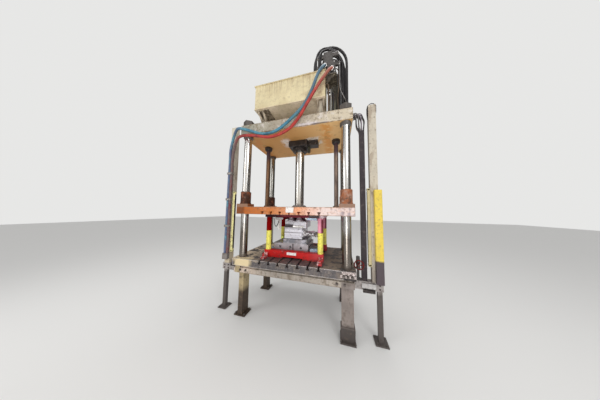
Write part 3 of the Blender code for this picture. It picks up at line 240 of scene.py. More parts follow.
# dirt in upright streaks, thickest at the top of its stretch and gone at the bottom
def streaks(colour, top, bottom, amount, seed=(0, 0, 0), size=9.0):
    return coat(colour, 0.75, amount, patch=(size, 0.50, 0.68), stretch=(3.2, 3.2, 0.22), seed=seed,
                limits=(("z", bottom, top),))


# blotches of oily dirt, and the fine specks round them
def grime(colour, amount, size=12.0, seed=(0, 0, 0)):
    return coat(colour, 0.68, amount, patch=(size, 0.54, 0.67), seed=seed)


def specks(colour, amount, size=36.0, seed=(9, 0, 0)):
    return coat(colour, 0.7, amount, patch=(size, 0.57, 0.66), seed=seed)


def boxOf(name):
    low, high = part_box(name)
    return tuple(low), tuple(high)


# finishes of the frame: castings, columns and plates

crownLow, crownHigh = boxOf("crown_plate")
platenLow, platenHigh = boxOf("moving_platen")
bolsterLow, bolsterHigh = boxOf("bolster")
bedLow, bedHigh = boxOf("bed_frame")
tankLow, tankHigh = boxOf("oil_tank")
crownFoot = (("z", crownLow[2] + 0.006, crownLow[2] + 0.002),)
platenTop = 1.787
platenTopFace = ("z", platenTop - 0.004, platenTop + 0.004)
crownNearFace = ("y", -0.56, -0.57)
bolsterTopFace = ("z", bolsterHigh[2] - 0.01, bolsterHigh[2] - 0.003)
railNearFace = ("y", -0.385, -0.392)
shoeTopFace = ("z", 1.609, 1.6135)

layeredFinish("crownPaint", {
    "colour": (0.47, 0.405, 0.315), "rough": 0.55, "tone": 0.18, "toneSize": 3.0,
    "layers": [
        coat((0.33, 0.325, 0.26), 0.6, 0.9, limits=(("x", -0.25, -0.75),)),
        coat((0.62, 0.535, 0.40), 0.5, 0.85, limits=(("x", 0.25, 0.65),)),
        streaks((0.24, 0.17, 0.10), crownHigh[2] + 0.03, crownLow[2] + 0.01, 0.85),
        coat((0.70, 0.64, 0.60), 0.5, 0.6, patch=(11.0, 0.52, 0.62), seed=(8, 3, 0)),
        grime((0.20, 0.145, 0.09), 0.85, 17.0),
        specks((0.13, 0.09, 0.06), 0.75),
        coat((0.60, 0.315, 0.105), 0.6, limits=crownFoot),
        coat((0.86, 0.56, 0.25), 0.55, 0.85, limits=crownFoot + (("x", -0.05, 0.60),)),
        coat((0.72, 0.30, 0.05), 0.55, 0.8, limits=crownFoot + (("x", 0.42, 0.50), ("x", 0.66, 0.58)),
             ragged=0.10),
        coat((0.60, 0.24, 0.06), 0.55, 0.7, limits=crownFoot + (("x", -0.66, -0.76),), ragged=0.12),
        coat((0.86, 0.78, 0.72), 0.5, 0.9,
             limits=crownFoot + (("x", -0.36, -0.27), ("x", -0.12, -0.2), ("y", -0.30, -0.22), ("y", 0.10, 0.02)),
             ragged=0.12),
        coat((0.88, 0.82, 0.74), 0.5, 0.9,
             limits=crownFoot + (("x", 0.12, 0.18), ("x", 0.46, 0.38), ("y", -0.24, -0.18), ("y", 0.16, 0.08)),
             ragged=0.12),
        coat((0.86, 0.82, 0.74), 0.5, 0.8, limits=crownFoot + (("y", 0.545, 0.56),), ragged=0.02),
        coat((0.36, 0.23, 0.08), 0.7, 0.55, patch=(7.0, 0.58, 0.68), limits=crownFoot),
        # painted highlight: a pale lilac band along the lower edge of the front face, right of the middle, then a
        # short dark line along that edge
        coat((0.74, 0.68, 0.73), 0.38, 0.6,
             limits=(("z", 3.094, 3.072), ("x", 0.04, 0.16), ("x", 0.66, 0.42), crownNearFace),
             ragged=0.09),
        coat((0.05, 0.035, 0.04), 0.6, 0.85,
             limits=(("z", 3.074, 3.066), ("x", 0.30, 0.38), ("x", 0.62, 0.52), crownNearFace),
             ragged=0.02),
        coat((0.25, 0.18, 0.11), 0.7, 0.85, edge=(crownLow, crownHigh, 0.009, 0.034)),
    ]})

layeredFinish("tankPaint", {
    "colour": (0.74, 0.64, 0.40), "rough": 0.45, "tone": 0.08, "toneSize": 2.6,
    "layers": [
        coat((0.92, 0.78, 0.60), 0.6, limits=(("z", tankLow[2] + 0.016, tankLow[2] + 0.004),)),
        coat((0.60, 0.49, 0.29), 0.5, 0.6, patch=(5.0, 0.46, 0.66)),
        streaks((0.40, 0.29, 0.16), tankHigh[2], tankLow[2] + 0.05, 0.65, (2, 0, 0)),
        coat((0.34, 0.23, 0.145), 0.6, 0.85, patch=(5.0, 0.48, 0.62), limits=(("x", 0.16, 0.42),)),
        streaks((0.30, 0.19, 0.11), tankHigh[2] + 0.05, tankHigh[2] - 0.30, 0.7, (6, 0, 0), 14.0),
        grime((0.46, 0.36, 0.22), 0.45, 18.0),
        specks((0.34, 0.26, 0.16), 0.30),
        coat((0.47, 0.36, 0.21), 0.7, 0.5, edge=(tankLow, tankHigh, 0.010, 0.030)),
    ]})

layeredFinish("platenPaint", {
    "colour": (0.50, 0.165, 0.045), "rough": 0.45, "gloss": 0.22, "tone": 0.12, "toneSize": 4.0,
    "layers": [
        coat((0.45, 0.120, 0.017), 0.5, limits=(("x", -0.30, -0.80),)),
        coat((0.77, 0.355, 0.195), 0.42, limits=(("x", -0.30, 0.15),), ragged=0.3),
        coat((0.75, 0.610, 0.570), 0.4, limits=(("x", 0.15, 0.55),), ragged=0.4),
        coat((0.17, 0.048, 0.010), 0.55, 0.85, limits=(("x", -0.78, -0.82),), ragged=0.06),
        coat((0.36, 0.29, 0.31), 0.5, 0.9, patch=(13.0, 0.46, 0.58), limits=(("x", 0.72, 0.78),), ragged=0.06),
        coat((0.72, 0.45, 0.32), 0.4, 0.6, patch=(7.0, 0.55, 0.63), stretch=(0.5, 1, 2.6),
             limits=(("x", -0.75, 0.0),)),
        coat((0.25, 0.085, 0.03), 0.55, 0.9, limits=(platenTopFace, ("x", 0.2, -0.2))),
        coat((0.44, 0.35, 0.345), 0.5, 0.9, limits=(platenTopFace, ("x", -0.2, 0.2))),
        coat((0.20, 0.12, 0.08), 0.6, 0.7,
             limits=(("z", platenTop - 0.004, platenTop + 0.002), ("y", 0.36, 0.30), ("y", -0.36, -0.30))),
        grime((0.22, 0.11, 0.065), 0.6, 18.0),
        specks((0.14, 0.08, 0.055), 0.7),
        streaks((0.30, 0.135, 0.07), platenHigh[2], platenLow[2], 0.6, (7, 0, 0)),
        coat((0.30, 0.27, 0.255), 0.42, 0.9, limits=(("z", platenLow[2] + 0.004, platenLow[2] + 0.001),)),
        coat((0.27, 0.155, 0.10), 0.6, 0.9,
             edge=(platenLow, (platenHigh[0], platenHigh[1], platenTop), 0.008, 0.030)),
    ]})

layeredFinish("bolsterSteel", {
    "colour": (0.098, 0.088, 0.090), "rough": 0.48, "metal": 0.25, "tone": 0.16, "toneSize": 5.0,
    "layers": [
        coat((0.80, 0.64, 0.46), 0.6, 0.92,
             limits=(("x", -0.40, -0.72), bolsterTopFace), ragged=0.2,
             metal=0.0),
        coat((0.23, 0.18, 0.14), 0.55, 0.65, patch=(7.0, 0.50, 0.66), metal=0.1),
        specks((0.045, 0.036, 0.032), 0.8, 30.0),
        specks((0.42, 0.36, 0.31), 0.5, 44.0, (2, 5, 0)),
        coat((0.29, 0.225, 0.17), 0.55, 0.85,
             limits=(("x", 0.42, 0.62), bolsterTopFace), ragged=0.3,
             metal=0.1),
        coat((0.74, 0.60, 0.36), 0.6, 0.95, patch=(3.6, 0.42, 0.52),
             limits=(("x", -0.58, -0.66), ("y", -0.48, -0.56)), metal=0.0),
        # pale bare steel along the edges: worn edges, and also a painted highlight of the lit front top edge
        coat((0.50, 0.46, 0.44), 0.35, 0.85, edge=(bolsterLow, bolsterHigh, 0.006, 0.020), metal=0.6),
    ]})

layeredFinish("bedPaint", {
    "colour": (0.345, 0.30, 0.255), "rough": 0.52, "tone": 0.16, "toneSize": 4.0,
    "layers": [
        coat((0.62, 0.50, 0.405), 0.5, 0.85, limits=(("x", -0.35, -0.75),)),
        streaks((0.15, 0.11, 0.075), bedHigh[2] + 0.01, bedLow[2] - 0.02, 0.85, (1, 0, 0)),
        grime((0.13, 0.095, 0.065), 0.75, 14.0),
        specks((0.09, 0.065, 0.045), 0.75),
        coat((0.17, 0.12, 0.08), 0.7, 0.8, edge=(bedLow, bedHigh, 0.008, 0.027)),
    ]})

layeredFinish("legPaintLeft", {
    "colour": (0.42, 0.33, 0.185), "rough": 0.52, "tone": 0.16,
    "layers": [
        grime((0.13, 0.10, 0.06), 0.8, 12.0),
        coat((0.042, 0.026, 0.020), 0.6, 0.95, limits=(("z", 0.46, 0.36),), ragged=0.07),
        specks((0.20, 0.13, 0.08), 0.6, 24.0),
    ]})

layeredFinish("legPaintRight", {
    "colour": (0.25, 0.210, 0.190), "rough": 0.52, "tone": 0.14,
    "layers": [
        streaks((0.13, 0.10, 0.08), 0.76, 0.2, 0.6, (3, 0, 0)),
        grime((0.13, 0.10, 0.08), 0.7, 12.0),
        coat((0.066, 0.054, 0.049), 0.6, 0.95, limits=(("z", 0.215, 0.165),), ragged=0.04),
        specks((0.16, 0.12, 0.09), 0.5, 26.0),
    ]})

layeredFinish("columnChrome", {
    "colour": (0.66, 0.645, 0.62), "rough": 0.20, "metal": 1.0, "tone": 0.05, "toneSize": 5.0,
    "toneStretch": (1, 1, 0.3), "bump": (90.0, 0.04, 0.0002), "bumpStretch": (1, 1, 6),
    "layers": [
        coat((0.36, 0.30, 0.23), 0.34, 0.75, patch=(5.0, 0.50, 0.74), stretch=(2.5, 2.5, 0.35)),
        coat((0.16, 0.11, 0.08), 0.5, 0.7, patch=(28.0, 0.62, 0.72), stretch=(1, 1, 0.5), metal=0.3),
        # painted shade: the columns darker below the platen, fully so below z 1.35
        coat((0.150, 0.125, 0.105), 0.24, 0.9, limits=(("z", 1.62, 1.35),), ragged=0.4),
        # painted shade: the rear columns darker than the front ones
        coat((0.34, 0.33, 0.30), 0.28, 0.85, limits=(("y", 0.2, 0.4),)),
        # darker from just under the crown upwards: painted shade under the crown, and the nuts' own dark steel on
        # top
        coat((0.10, 0.085, 0.075), 0.5, 0.95, limits=(("z", 2.98, 3.01),), ragged=0.02, metal=0.4),
        coat((0.10, 0.08, 0.065), 0.6, 0.9, limits=(("z", 1.02, 0.96),), ragged=0.06, metal=0.2),
    ]})

layeredFinish("rodChrome", {
    "colour": (0.64, 0.625, 0.59), "rough": 0.22, "metal": 1.0, "tone": 0.05, "toneStretch": (1, 1, 0.3),
    "bump": (90.0, 0.04, 0.0002),
    "layers": [
        coat((0.35, 0.28, 0.21), 0.36, 0.8, patch=(6.0, 0.48, 0.70), stretch=(2.5, 2.5, 0.3)),
        coat((0.13, 0.10, 0.08), 0.6, 0.85, limits=(("z", 1.88, 1.80),), ragged=0.06, metal=0.2),
    ]})
rodTints = {
    "Left": ((0.22, 0.120, 0.065), (0.10, 0.050, 0.028)),
    "Right": ((0.25, 0.18, 0.14), (0.09, 0.065, 0.055)),
}
for side, (tint, dirt) in rodTints.items():
    layeredFinish("pullRod" + side, {
        "colour": tint, "rough": 0.38, "metal": 0.65, "tone": 0.12, "toneStretch": (1, 1, 0.3),
        "layers": [
            coat(dirt, 0.55, 0.8, patch=(8.0, 0.50, 0.66), stretch=(2.0, 2.0, 0.4), metal=0.3),
            coat((0.075, 0.045, 0.060), 0.5, 0.92, limits=(("z", 2.72, 2.82),), ragged=0.1, metal=0.2),
        ]})

layeredFinish("bushingLeft", {
    "colour": (0.052, 0.019, 0.010), "rough": 0.65, "gloss": 0.2, "tone": 0.25, "toneSize": 12.0,
    "layers": [
        coat((0.26, 0.085, 0.040), 0.55, 0.8, patch=(9.0, 0.52, 0.60), seed=(2, 6, 0)),
        grime((0.045, 0.032, 0.028), 0.8, 16.0),
        specks((0.19, 0.12, 0.09), 0.6, 26.0),
    ]})
layeredFinish("bushingRight", {
    "colour": (0.33, 0.115, 0.050), "rough": 0.55, "gloss": 0.25, "tone": 0.25, "toneSize": 12.0,
    "layers": [
        coat((0.36, 0.24, 0.185), 0.5, 0.8, patch=(9.0, 0.50, 0.60)),
        grime((0.085, 0.050, 0.038), 0.9, 15.0),
        specks((0.56, 0.42, 0.34), 0.5, 30.0),
    ]})

layeredFinish("grimySteel", {
    "colour": (0.040, 0.033, 0.031), "rough": 0.42, "metal": 0.3, "tone": 0.25, "toneSize": 14.0,
    "layers": [
        coat((0.10, 0.08, 0.066), 0.55, 0.7, patch=(18.0, 0.56, 0.68), metal=0.2),
        coat((0.22, 0.17, 0.13), 0.5, 0.6, patch=(34.0, 0.64, 0.72), metal=0.3),
    ]})

layeredFinish("cylinderPaint", {
    "colour": (0.118, 0.104, 0.078), "rough": 0.45, "tone": 0.2, "toneSize": 8.0,
    "layers": [
        streaks((0.05, 0.038, 0.030), 4.29, 3.23, 0.7),
        coat((0.19, 0.15, 0.11), 0.55, 0.7, patch=(12.0, 0.58, 0.68)),
    ]})

layeredFinish("creamPost", {
    "colour": (0.52, 0.465, 0.37), "rough": 0.5, "tone": 0.1,
    "layers": [
        coat((0.30, 0.225, 0.16), 0.7, 0.6, patch=(8.0, 0.52, 0.62), stretch=(1.6, 1.6, 0.5)),
        specks((0.17, 0.125, 0.085), 0.65, 30.0),
        coat((0.34, 0.29, 0.25), 0.6, 0.8, limits=(("z", 1.15, 0.80),), ragged=0.3),
    ]})
layeredFinish("tanPost", {
    "colour": (0.45, 0.415, 0.345), "rough": 0.5, "tone": 0.12,
    "layers": [
        coat((0.20, 0.15, 0.11), 0.7, 0.65, patch=(8.0, 0.52, 0.64), stretch=(1.6, 1.6, 0.5)),
        specks((0.12, 0.09, 0.065), 0.6, 30.0),
        coat((0.66, 0.60, 0.47), 0.5, 0.8, limits=(("z", 2.85, 3.10),), ragged=0.2),
        coat((0.62, 0.52, 0.37), 0.6, 0.8, limits=(("z", 1.65, 1.2),), ragged=0.3),
    ]})
layeredFinish("standPaint", {
    "colour": (0.40, 0.33, 0.24), "rough": 0.55, "tone": 0.2, "toneSize": 12.0,
    "layers": [
        coat((0.11, 0.078, 0.052), 0.65, 0.9, patch=(10.0, 0.46, 0.56), stretch=(1.8, 1.8, 0.6)),
        specks((0.07, 0.05, 0.035), 0.6, 30.0),
    ]})
layeredFinish("bracketPaint", {
    "colour": (0.100, 0.082, 0.060), "rough": 0.5, "metal": 0.1, "tone": 0.25, "toneSize": 14.0,
    "layers": [
        coat((0.26, 0.225, 0.16), 0.55, 0.8, patch=(14.0, 0.52, 0.62), stretch=(2.0, 2.0, 0.5)),
        specks((0.035, 0.028, 0.024), 0.7, 30.0),
    ]})
layeredFinish("greyPost", {
    "colour": (0.22, 0.195, 0.18), "rough": 0.5, "tone": 0.1,
    "layers": [grime((0.12, 0.10, 0.085), 0.6, 10.0), specks((0.10, 0.08, 0.07), 0.5, 30.0)]})
layeredFinish("curtainHousing", {
    "colour": (0.54, 0.46, 0.25), "rough": 0.38, "tone": 0.06,
    "layers": [
        # painted light: the left curtain housing, facing away from the key lamp, painted a brighter yellow than the
        # right
        coat((0.96, 0.90, 0.42), 0.4, limits=(("x", 0.1, -0.1),)),
        coat((0.10, 0.075, 0.05), 0.6, 0.9, patch=(24.0, 0.56, 0.62),
             limits=(("x", 0.1, -0.1), ("z", 1.55, 1.20))),
        grime((0.48, 0.39, 0.20), 0.5, 12.0), specks((0.28, 0.22, 0.10), 0.5, 34.0)]})
layeredFinish("coverPaint", {
    "colour": (0.76, 0.57, 0.080), "rough": 0.42, "tone": 0.06,
    "layers": [
        coat((0.58, 0.44, 0.12), 0.6, 0.6, patch=(14.0, 0.56, 0.70)),
        specks((0.30, 0.22, 0.09), 0.55, 34.0),
        coat((0.082, 0.062, 0.070), 0.5, limits=(("z", 1.090, 1.066),), ragged=0.045),
        coat((0.05, 0.04, 0.04), 0.6, 0.7, patch=(20.0, 0.62, 0.70), limits=(("z", 1.10, 1.06),)),
    ]})
layeredFinish("channelPaint", {
    "colour": (0.038, 0.029, 0.033), "rough": 0.5, "gloss": 0.25, "tone": 0.15,
    "layers": [grime((0.13, 0.105, 0.10), 0.6, 15.0), specks((0.03, 0.025, 0.025), 0.6, 30.0)]})
layeredFinish("outriggerPaint", {
    "colour": (0.36, 0.325, 0.31), "rough": 0.5, "tone": 0.12,
    "layers": [
        grime((0.15, 0.12, 0.10), 0.8, 13.0),
        specks((0.08, 0.065, 0.055), 0.7, 30.0),
        coat((0.075, 0.062, 0.056), 0.55, 0.9, limits=(("z", 0.66, 0.60),), ragged=0.04),
    ]})

layeredFinish("redPaint", {
    "colour": (0.50, 0.012, 0.011), "rough": 0.42, "gloss": 0.2, "tone": 0.14, "toneSize": 9.0,
    "layers": [
        coat((0.52, 0.050, 0.055), 0.45, 0.85, limits=(("x", 0.24, 0.40),), ragged=0.15),
        coat((0.20, 0.075, 0.065), 0.5, 0.9, patch=(16.0, 0.47, 0.56), limits=(railNearFace,)),
        # painted highlight: pale pink glints on the rails' front faces
        coat((0.74, 0.52, 0.52), 0.4, 0.85, patch=(20.0, 0.53, 0.60), seed=(4, 4, 1), limits=(railNearFace,)),
        coat((0.12, 0.05, 0.045), 0.6, 0.8, patch=(16.0, 0.50, 0.60), limits=(("z", 0.980, 0.965),)),
        coat((0.13, 0.025, 0.020), 0.6, 0.8, patch=(17.0, 0.58, 0.68), metal=0.0),
        coat((0.50, 0.40, 0.36), 0.4, 0.75, patch=(26.0, 0.64, 0.70), metal=0.5),
    ]})
layeredFinish("yellowPaint", {
    "colour": (0.88, 0.80, 0.14), "rough": 0.42, "gloss": 0.3, "tone": 0.1, "toneSize": 9.0,
    "layers": [grime((0.36, 0.29, 0.08), 0.7, 16.0), specks((0.12, 0.09, 0.04), 0.6, 30.0)]})
layeredFinish("upperSetPaint", {
    "colour": (0.86, 0.35, 0.45), "rough": 0.6, "metal": 0.0, "gloss": 0.05, "tone": 0.1,
    "layers": [
        # painted shade: the shoe dark maroon on its left part, under the platen
        coat((0.21, 0.001, 0.001), 0.85, limits=(("x", 0.05, -0.15),), metal=0.0),
        coat((0.14, 0.010, 0.020), 0.6, 0.9, limits=(("x", 0.455, 0.475), ("z", 1.60, 1.59)), ragged=0.02,
             metal=0.0),
        # painted shade on the shoe's top face under the platen: dark red, near black at the left, with a pale pink
        # right end
        coat((0.17, 0.030, 0.040), 0.5, limits=(shoeTopFace,), metal=0.0),
        coat((0.045, 0.018, 0.022), 0.5, limits=(shoeTopFace, ("x", -0.15, -0.30)), ragged=0.1,
             metal=0.1),
        coat((0.80, 0.62, 0.66), 0.4, limits=(shoeTopFace, ("x", 0.43, 0.46)), ragged=0.03, metal=0.0),
        coat((0.12, 0.05, 0.045), 0.6, 0.7, patch=(17.0, 0.60, 0.70), metal=0.0),
    ]})
layeredFinish("dieSilver", {
    "colour": (0.70, 0.69, 0.74), "rough": 0.34, "metal": 0.35, "tone": 0.08, "toneStretch": (0.4, 0.4, 3),
    "bump": (60.0, 0.10, 0.0004), "bumpStretch": (1, 1, 10),
    "layers": [
        coat((0.42, 0.40, 0.42), 0.4, 0.7, patch=(9.0, 0.55, 0.66), metal=0.5),
        coat((0.40, 0.38, 0.41), 0.4, 0.8, patch=(3.0, 0.54, 0.56), stretch=(0.05, 0.05, 9.0), metal=0.5),
        specks((0.14, 0.11, 0.09), 0.6, 30.0),
    ]})
layeredFinish("dieSteel", {
    "colour": (0.36, 0.335, 0.35), "rough": 0.38, "metal": 0.4, "tone": 0.12,
    "layers": [
        coat((0.17, 0.175, 0.20), 0.4, 0.85, limits=(("z", 1.165, 1.180),), ragged=0.05, metal=0.5),
        coat((0.48, 0.465, 0.51), 0.3, 0.8, patch=(12.0, 0.50, 0.58), seed=(3, 8, 2),
             limits=(("z", 1.12, 1.15),), metal=0.5),
        coat((0.20, 0.17, 0.16), 0.5, 0.75, patch=(8.0, 0.54, 0.66), metal=0.3),
        coat((0.10, 0.07, 0.05), 0.65, 0.7, patch=(28.0, 0.62, 0.70), metal=0.1),
    ]})
layeredFinish("motorPaint", {
    "colour": (0.17, 0.185, 0.20), "rough": 0.42, "tone": 0.1,
    "layers": [grime((0.09, 0.08, 0.07), 0.7, 12.0)]})
layeredFinish("valveSteel", {
    "colour": (0.115, 0.105, 0.10), "rough": 0.40, "metal": 0.5, "tone": 0.15, "toneSize": 12.0,
    "layers": [
        coat((0.05, 0.042, 0.038), 0.55, 0.8, patch=(14.0, 0.55, 0.66), metal=0.3),
        coat((0.34, 0.32, 0.30), 0.35, 0.6, patch=(24.0, 0.62, 0.70), metal=0.7),
    ]})
layeredFinish("wheelPaint", {
    "colour": (0.130, 0.009, 0.007), "rough": 0.7, "gloss": 0.2, "tone": 0.15, "toneSize": 20.0,
    "layers": [grime((0.055, 0.035, 0.030), 0.7, 24.0)]})
layeredFinish("blueHose", {
    "colour": (0.036, 0.175, 0.265), "rough": 0.38, "gloss": 0.45, "tone": 0.25, "toneSize": 7.0,
    "layers": [
        coat((0.115, 0.135, 0.235), 0.55, 0.95, limits=(("x", -0.85, -1.10),), ragged=0.1),
        # painted highlight: cyan patches along the blue hose
        coat((0.10, 0.33, 0.40), 0.4, 0.75, patch=(7.0, 0.50, 0.62), seed=(0, 4, 4)),
        coat((0.090, 0.135, 0.185), 0.45, 0.7, limits=(("x", -0.02, 0.20),), ragged=0.3),
        coat((0.16, 0.22, 0.25), 0.65, 0.6, patch=(11.0, 0.55, 0.68)),
        specks((0.06, 0.07, 0.08), 0.5, 40.0),
    ]})
layeredFinish("redHose", {
    "colour": (0.42, 0.036, 0.028), "rough": 0.40, "gloss": 0.4, "tone": 0.22, "toneSize": 8.0,
    "layers": [
        coat((0.15, 0.115, 0.110), 0.6, 0.95, limits=(("x", -0.85, -1.12),), ragged=0.1),
        coat((0.36, 0.13, 0.085), 0.5, 0.8, limits=(("z", 3.50, 3.75),), ragged=0.3),
        coat((0.20, 0.020, 0.026), 0.6, 0.75, patch=(9.0, 0.50, 0.62)),
        specks((0.09, 0.04, 0.035), 0.5, 40.0),
    ]})
layeredFinish("blackLine", {
    "colour": (0.022, 0.019, 0.020), "rough": 0.45, "tone": 0.2, "toneSize": 14.0,
    "layers": [
        coat((0.07, 0.06, 0.055), 0.6, 0.6, patch=(9.0, 0.56, 0.70)),
    ]})
print("finishes made:", len(finishes))


# the CAD nodes: block-shaped ones keep their mesh and get a finish, round ones get a merged, smooth copy

blockFinish = {
    "crown_plate": "crownPaint", "oil_tank": "tankPaint", "moving_platen": "platenPaint",
    "bolster": "bolsterSteel", "bed_frame": "bedPaint",
    "leg_front_left": "legPaintLeft", "leg_rear_left": "legPaintLeft",
    "leg_front_right": "legPaintRight", "leg_rear_right": "legPaintRight",
    "tank_stand_left": "standPaint", "tank_stand_right": "standPaint", "manifold_bracket": "bracketPaint",
    "curtain_post_left": "tanPost", "curtain_post_right": "creamPost",
    "light_curtain_left": "curtainHousing", "light_curtain_right": "curtainHousing",
    "scanner_cover": "coverPaint", "cable_channel": "channelPaint", "hose_rail": "greyPost",
    "outrigger_left": "outriggerPaint", "outrigger_right": "outriggerPaint",
    "die_rail_front": "redPaint", "die_rail_rear": "redPaint",
    "lower_die_shoe": "dieSteel", "lower_die": "dieSteel",
}
roundFinish = {
    "column_front_left": "columnChrome", "column_front_right": "columnChrome",
    "column_rear_left": "columnChrome", "column_rear_right": "columnChrome",
    "guide_bushing_front_left": "bushingLeft", "guide_bushing_rear_left": "bushingLeft",
    "guide_bushing_front_right": "bushingRight", "guide_bushing_rear_right": "bushingRight",
    "ram_rod": "rodChrome", "return_rod_left": "pullRodLeft", "return_rod_right": "pullRodRight",
    "ram_cylinder": "cylinderPaint", "return_cylinder_left": "cylinderPaint",
    "return_cylinder_right": "cylinderPaint", "ram_gland": "grimySteel",
    "return_gland_left": "grimySteel", "return_gland_right": "grimySteel",
    "filler_breather": "grimySteel", "pump_motor": "motorPaint", "pump": "valveSteel",
    "pressure_pipe": "valveSteel", "valve_manifold": "valveSteel", "tank_pipe": "blackLine",
    "cylinder_pipe": "blackLine", "stop_valve": "valveSteel", "handwheel": "wheelPaint",
    "stop_post_front_left": "yellowPaint", "stop_post_front_right": "yellowPaint",
    "stop_post_rear_left": "yellowPaint", "stop_post_rear_right": "yellowPaint",
    "upper_die_shoe": "upperSetPaint", "upper_die": "dieSilver",
}
pieceBody = {name: nodes[name]["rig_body"] for name in nodes}
smoothSpec = {"merge": 0.00002, "angle": 34}


def only(piece):
    bpy.ops.object.select_all(action="DESELECT")
    piece.select_set(True)
    bpy.context.view_layer.objects.active = piece


def wearFinish(piece, finish):
    piece.data.materials.clear()
    piece.data.materials.append(finishes[finish])


def smoothCopy(name, finish):
    piece = nodes[name].copy()
    piece.data = nodes[name].data.copy()
    piece.name = "smooth_" + name
    for key in list(piece.keys()):
        del piece[key]
    piece.parent = None
    scene.collection.objects.link(piece)
    only(piece)
    bpy.ops.object.mode_set(mode="EDIT")
    bpy.ops.mesh.select_all(action="SELECT")
    bpy.ops.mesh.remove_doubles(threshold=smoothSpec["merge"])
    bpy.ops.mesh.tris_convert_to_quads()
    bpy.ops.object.mode_set(mode="OBJECT")
    bpy.ops.mesh.customdata_custom_splitnormals_clear()
    bpy.ops.object.shade_smooth_by_angle(angle=math.radians(smoothSpec["angle"]))
    wearFinish(piece, finish)
    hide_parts(name)
    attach(piece, pieceBody[name])
    return piece


for name, finish in blockFinish.items():
    wearFinish(nodes[name], finish)
for name, finish in roundFinish.items():
    smoothCopy(name, finish)
print("nodes dressed:", len(blockFinish) + len(roundFinish))


# the two free hoses, from the valve block across the front and down the left post

hoseSpec = {
    "diameter": 0.046, "dropSteps": 5,
    "blue": {"drop": (-1.239, -0.462), "end": 0.9603, "points": [
        (0.530, -0.47325, 4.09735), (0.530, -0.5086, 4.0620), (0.506, -0.565, 3.988), (0.478, -0.603, 3.913),
        (0.436, -0.618, 3.828), (0.400, -0.626, 3.726), (0.350, -0.635, 3.580), (0.272, -0.640, 3.419),
        (0.172, -0.643, 3.280), (0.041, -0.643, 3.167), (-0.087, -0.640, 3.072), (-0.222, -0.635, 3.001),
        (-0.362, -0.630, 2.979), (-0.506, -0.625, 2.993), (-0.656, -0.622, 3.050), (-0.818, -0.614, 3.118),
        (-0.975, -0.600, 3.164), (-1.092, -0.535, 3.138), (-1.188, -0.478, 3.026), (-1.239, -0.462, 2.860),
        (-1.239, -0.462, 2.700)]},
    "red": {"drop": (-1.189, -0.462), "end": 0.9603, "points": [
        (0.640, -0.47325, 4.02235), (0.640, -0.5086, 3.9870), (0.605, -0.562, 3.915), (0.556, -0.600, 3.820),
        (0.478, -0.627, 3.692), (0.405, -0.645, 3.560), (0.330, -0.655, 3.430), (0.254, -0.658, 3.304),
        (0.159, -0.660, 3.146), (0.041, -0.660, 3.014), (-0.084, -0.658, 2.944), (-0.217, -0.655, 2.907),
        (-0.351, -0.650, 2.902), (-0.495, -0.645, 2.935), (-0.690, -0.632, 2.985), (-0.862, -0.608, 3.015),
        (-1.000, -0.570, 3.008), (-1.110, -0.500, 2.930), (-1.175, -0.462, 2.810), (-1.189, -0.462, 2.690),
        (-1.189, -0.462, 2.560)]},
}


def runLength(points):
    return sum((Vector(b) - Vector(a)).length for a, b in zip(points, points[1:]))


# more points on a smooth curve through the given ones
def smoothed(points, between=3):
    result = []
    knots = [Vector(p) for p in points]
    for index in range(len(knots) - 1):
        before = knots[max(index - 1, 0)]
        start, end = knots[index], knots[index + 1]
        after = knots[min(index + 2, len(knots) - 1)]
        for step in range(between):
            t = step / between
            result.append(0.5 * (2 * start + (end - before) * t + (2 * before - 5 * start + 4 * end - after) * t ** 2
                                 + (3 * start - before - 3 * end + after) * t ** 3))
    result.append(knots[-1])
    return result


def tubeAlong(name, points, diameter, finish, sides=6):
    curve = bpy.data.curves.new(name, "CURVE")
    curve.dimensions = "3D"
    spline = curve.splines.new("POLY")
    spline.points.add(len(points) - 1)
    for knot, point in zip(spline.points, points):
        knot.co = (*point, 1.0)
    curve.bevel_depth = diameter / 2
    curve.bevel_resolution = sides
    curve.use_fill_caps = True
    piece = bpy.data.objects.new(name, curve)
    scene.collection.objects.link(piece)
    curve.materials.append(finishes[finish])
    return piece


# a thin line that rides on a body, the frame unless another is named
def runLine(name, points, diameter, finish, body="press_frame", sides=4):
    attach(tubeAlong(name, smoothed(points), diameter, finish, sides), body)


def layHose(name, spec, finish, node):
    x, y = spec["drop"]
    top = spec["points"][-1][2]
    steps = hoseSpec["dropSteps"]
    drop = [(x, y, top + (spec["end"] - top) * step / steps) for step in range(1, steps + 1)]
    line = smoothed(spec["points"]) + [Vector(p) for p in drop]
    piece = tubeAlong(name, line, hoseSpec["diameter"], finish)
    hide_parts(node)
    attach(piece, "press_frame")
    print(name, "length", round(runLength(line), 3))
    return piece


layHose("blueHose", hoseSpec["blue"], "blueHose", "blue_hose")
layHose("redHose", hoseSpec["red"], "redHose", "red_hose")


# how the added pieces are made: a primitive at its size, shaped in edit mode, then finished

up, down, front = (0, 0, 1), (0, 0, -1), (0, -1, 0)
turnTo = {"x": (0, math.pi / 2, 0), "z": (0, 0, 0)}


def addBlock(low, high):
    bpy.ops.object.select_all(action="DESELECT")
    bpy.ops.mesh.primitive_cube_add(size=1, location=[(a + b) / 2 for a, b in zip(low, high)])
    block = bpy.context.object
    block.scale = [b - a for a, b in zip(low, high)]
    bpy.ops.object.transform_apply(location=True, rotation=True, scale=True)
    return block


def addRound(diameter, length, place, axis="z", sides=16):
    bpy.ops.object.select_all(action="DESELECT")
    bpy.ops.mesh.primitive_cylinder_add(vertices=sides, radius=diameter / 2, depth=length, location=place,
                                        rotation=turnTo[axis])
    piece = bpy.context.object
    bpy.ops.object.transform_apply(location=True, rotation=True, scale=True)
    return piece


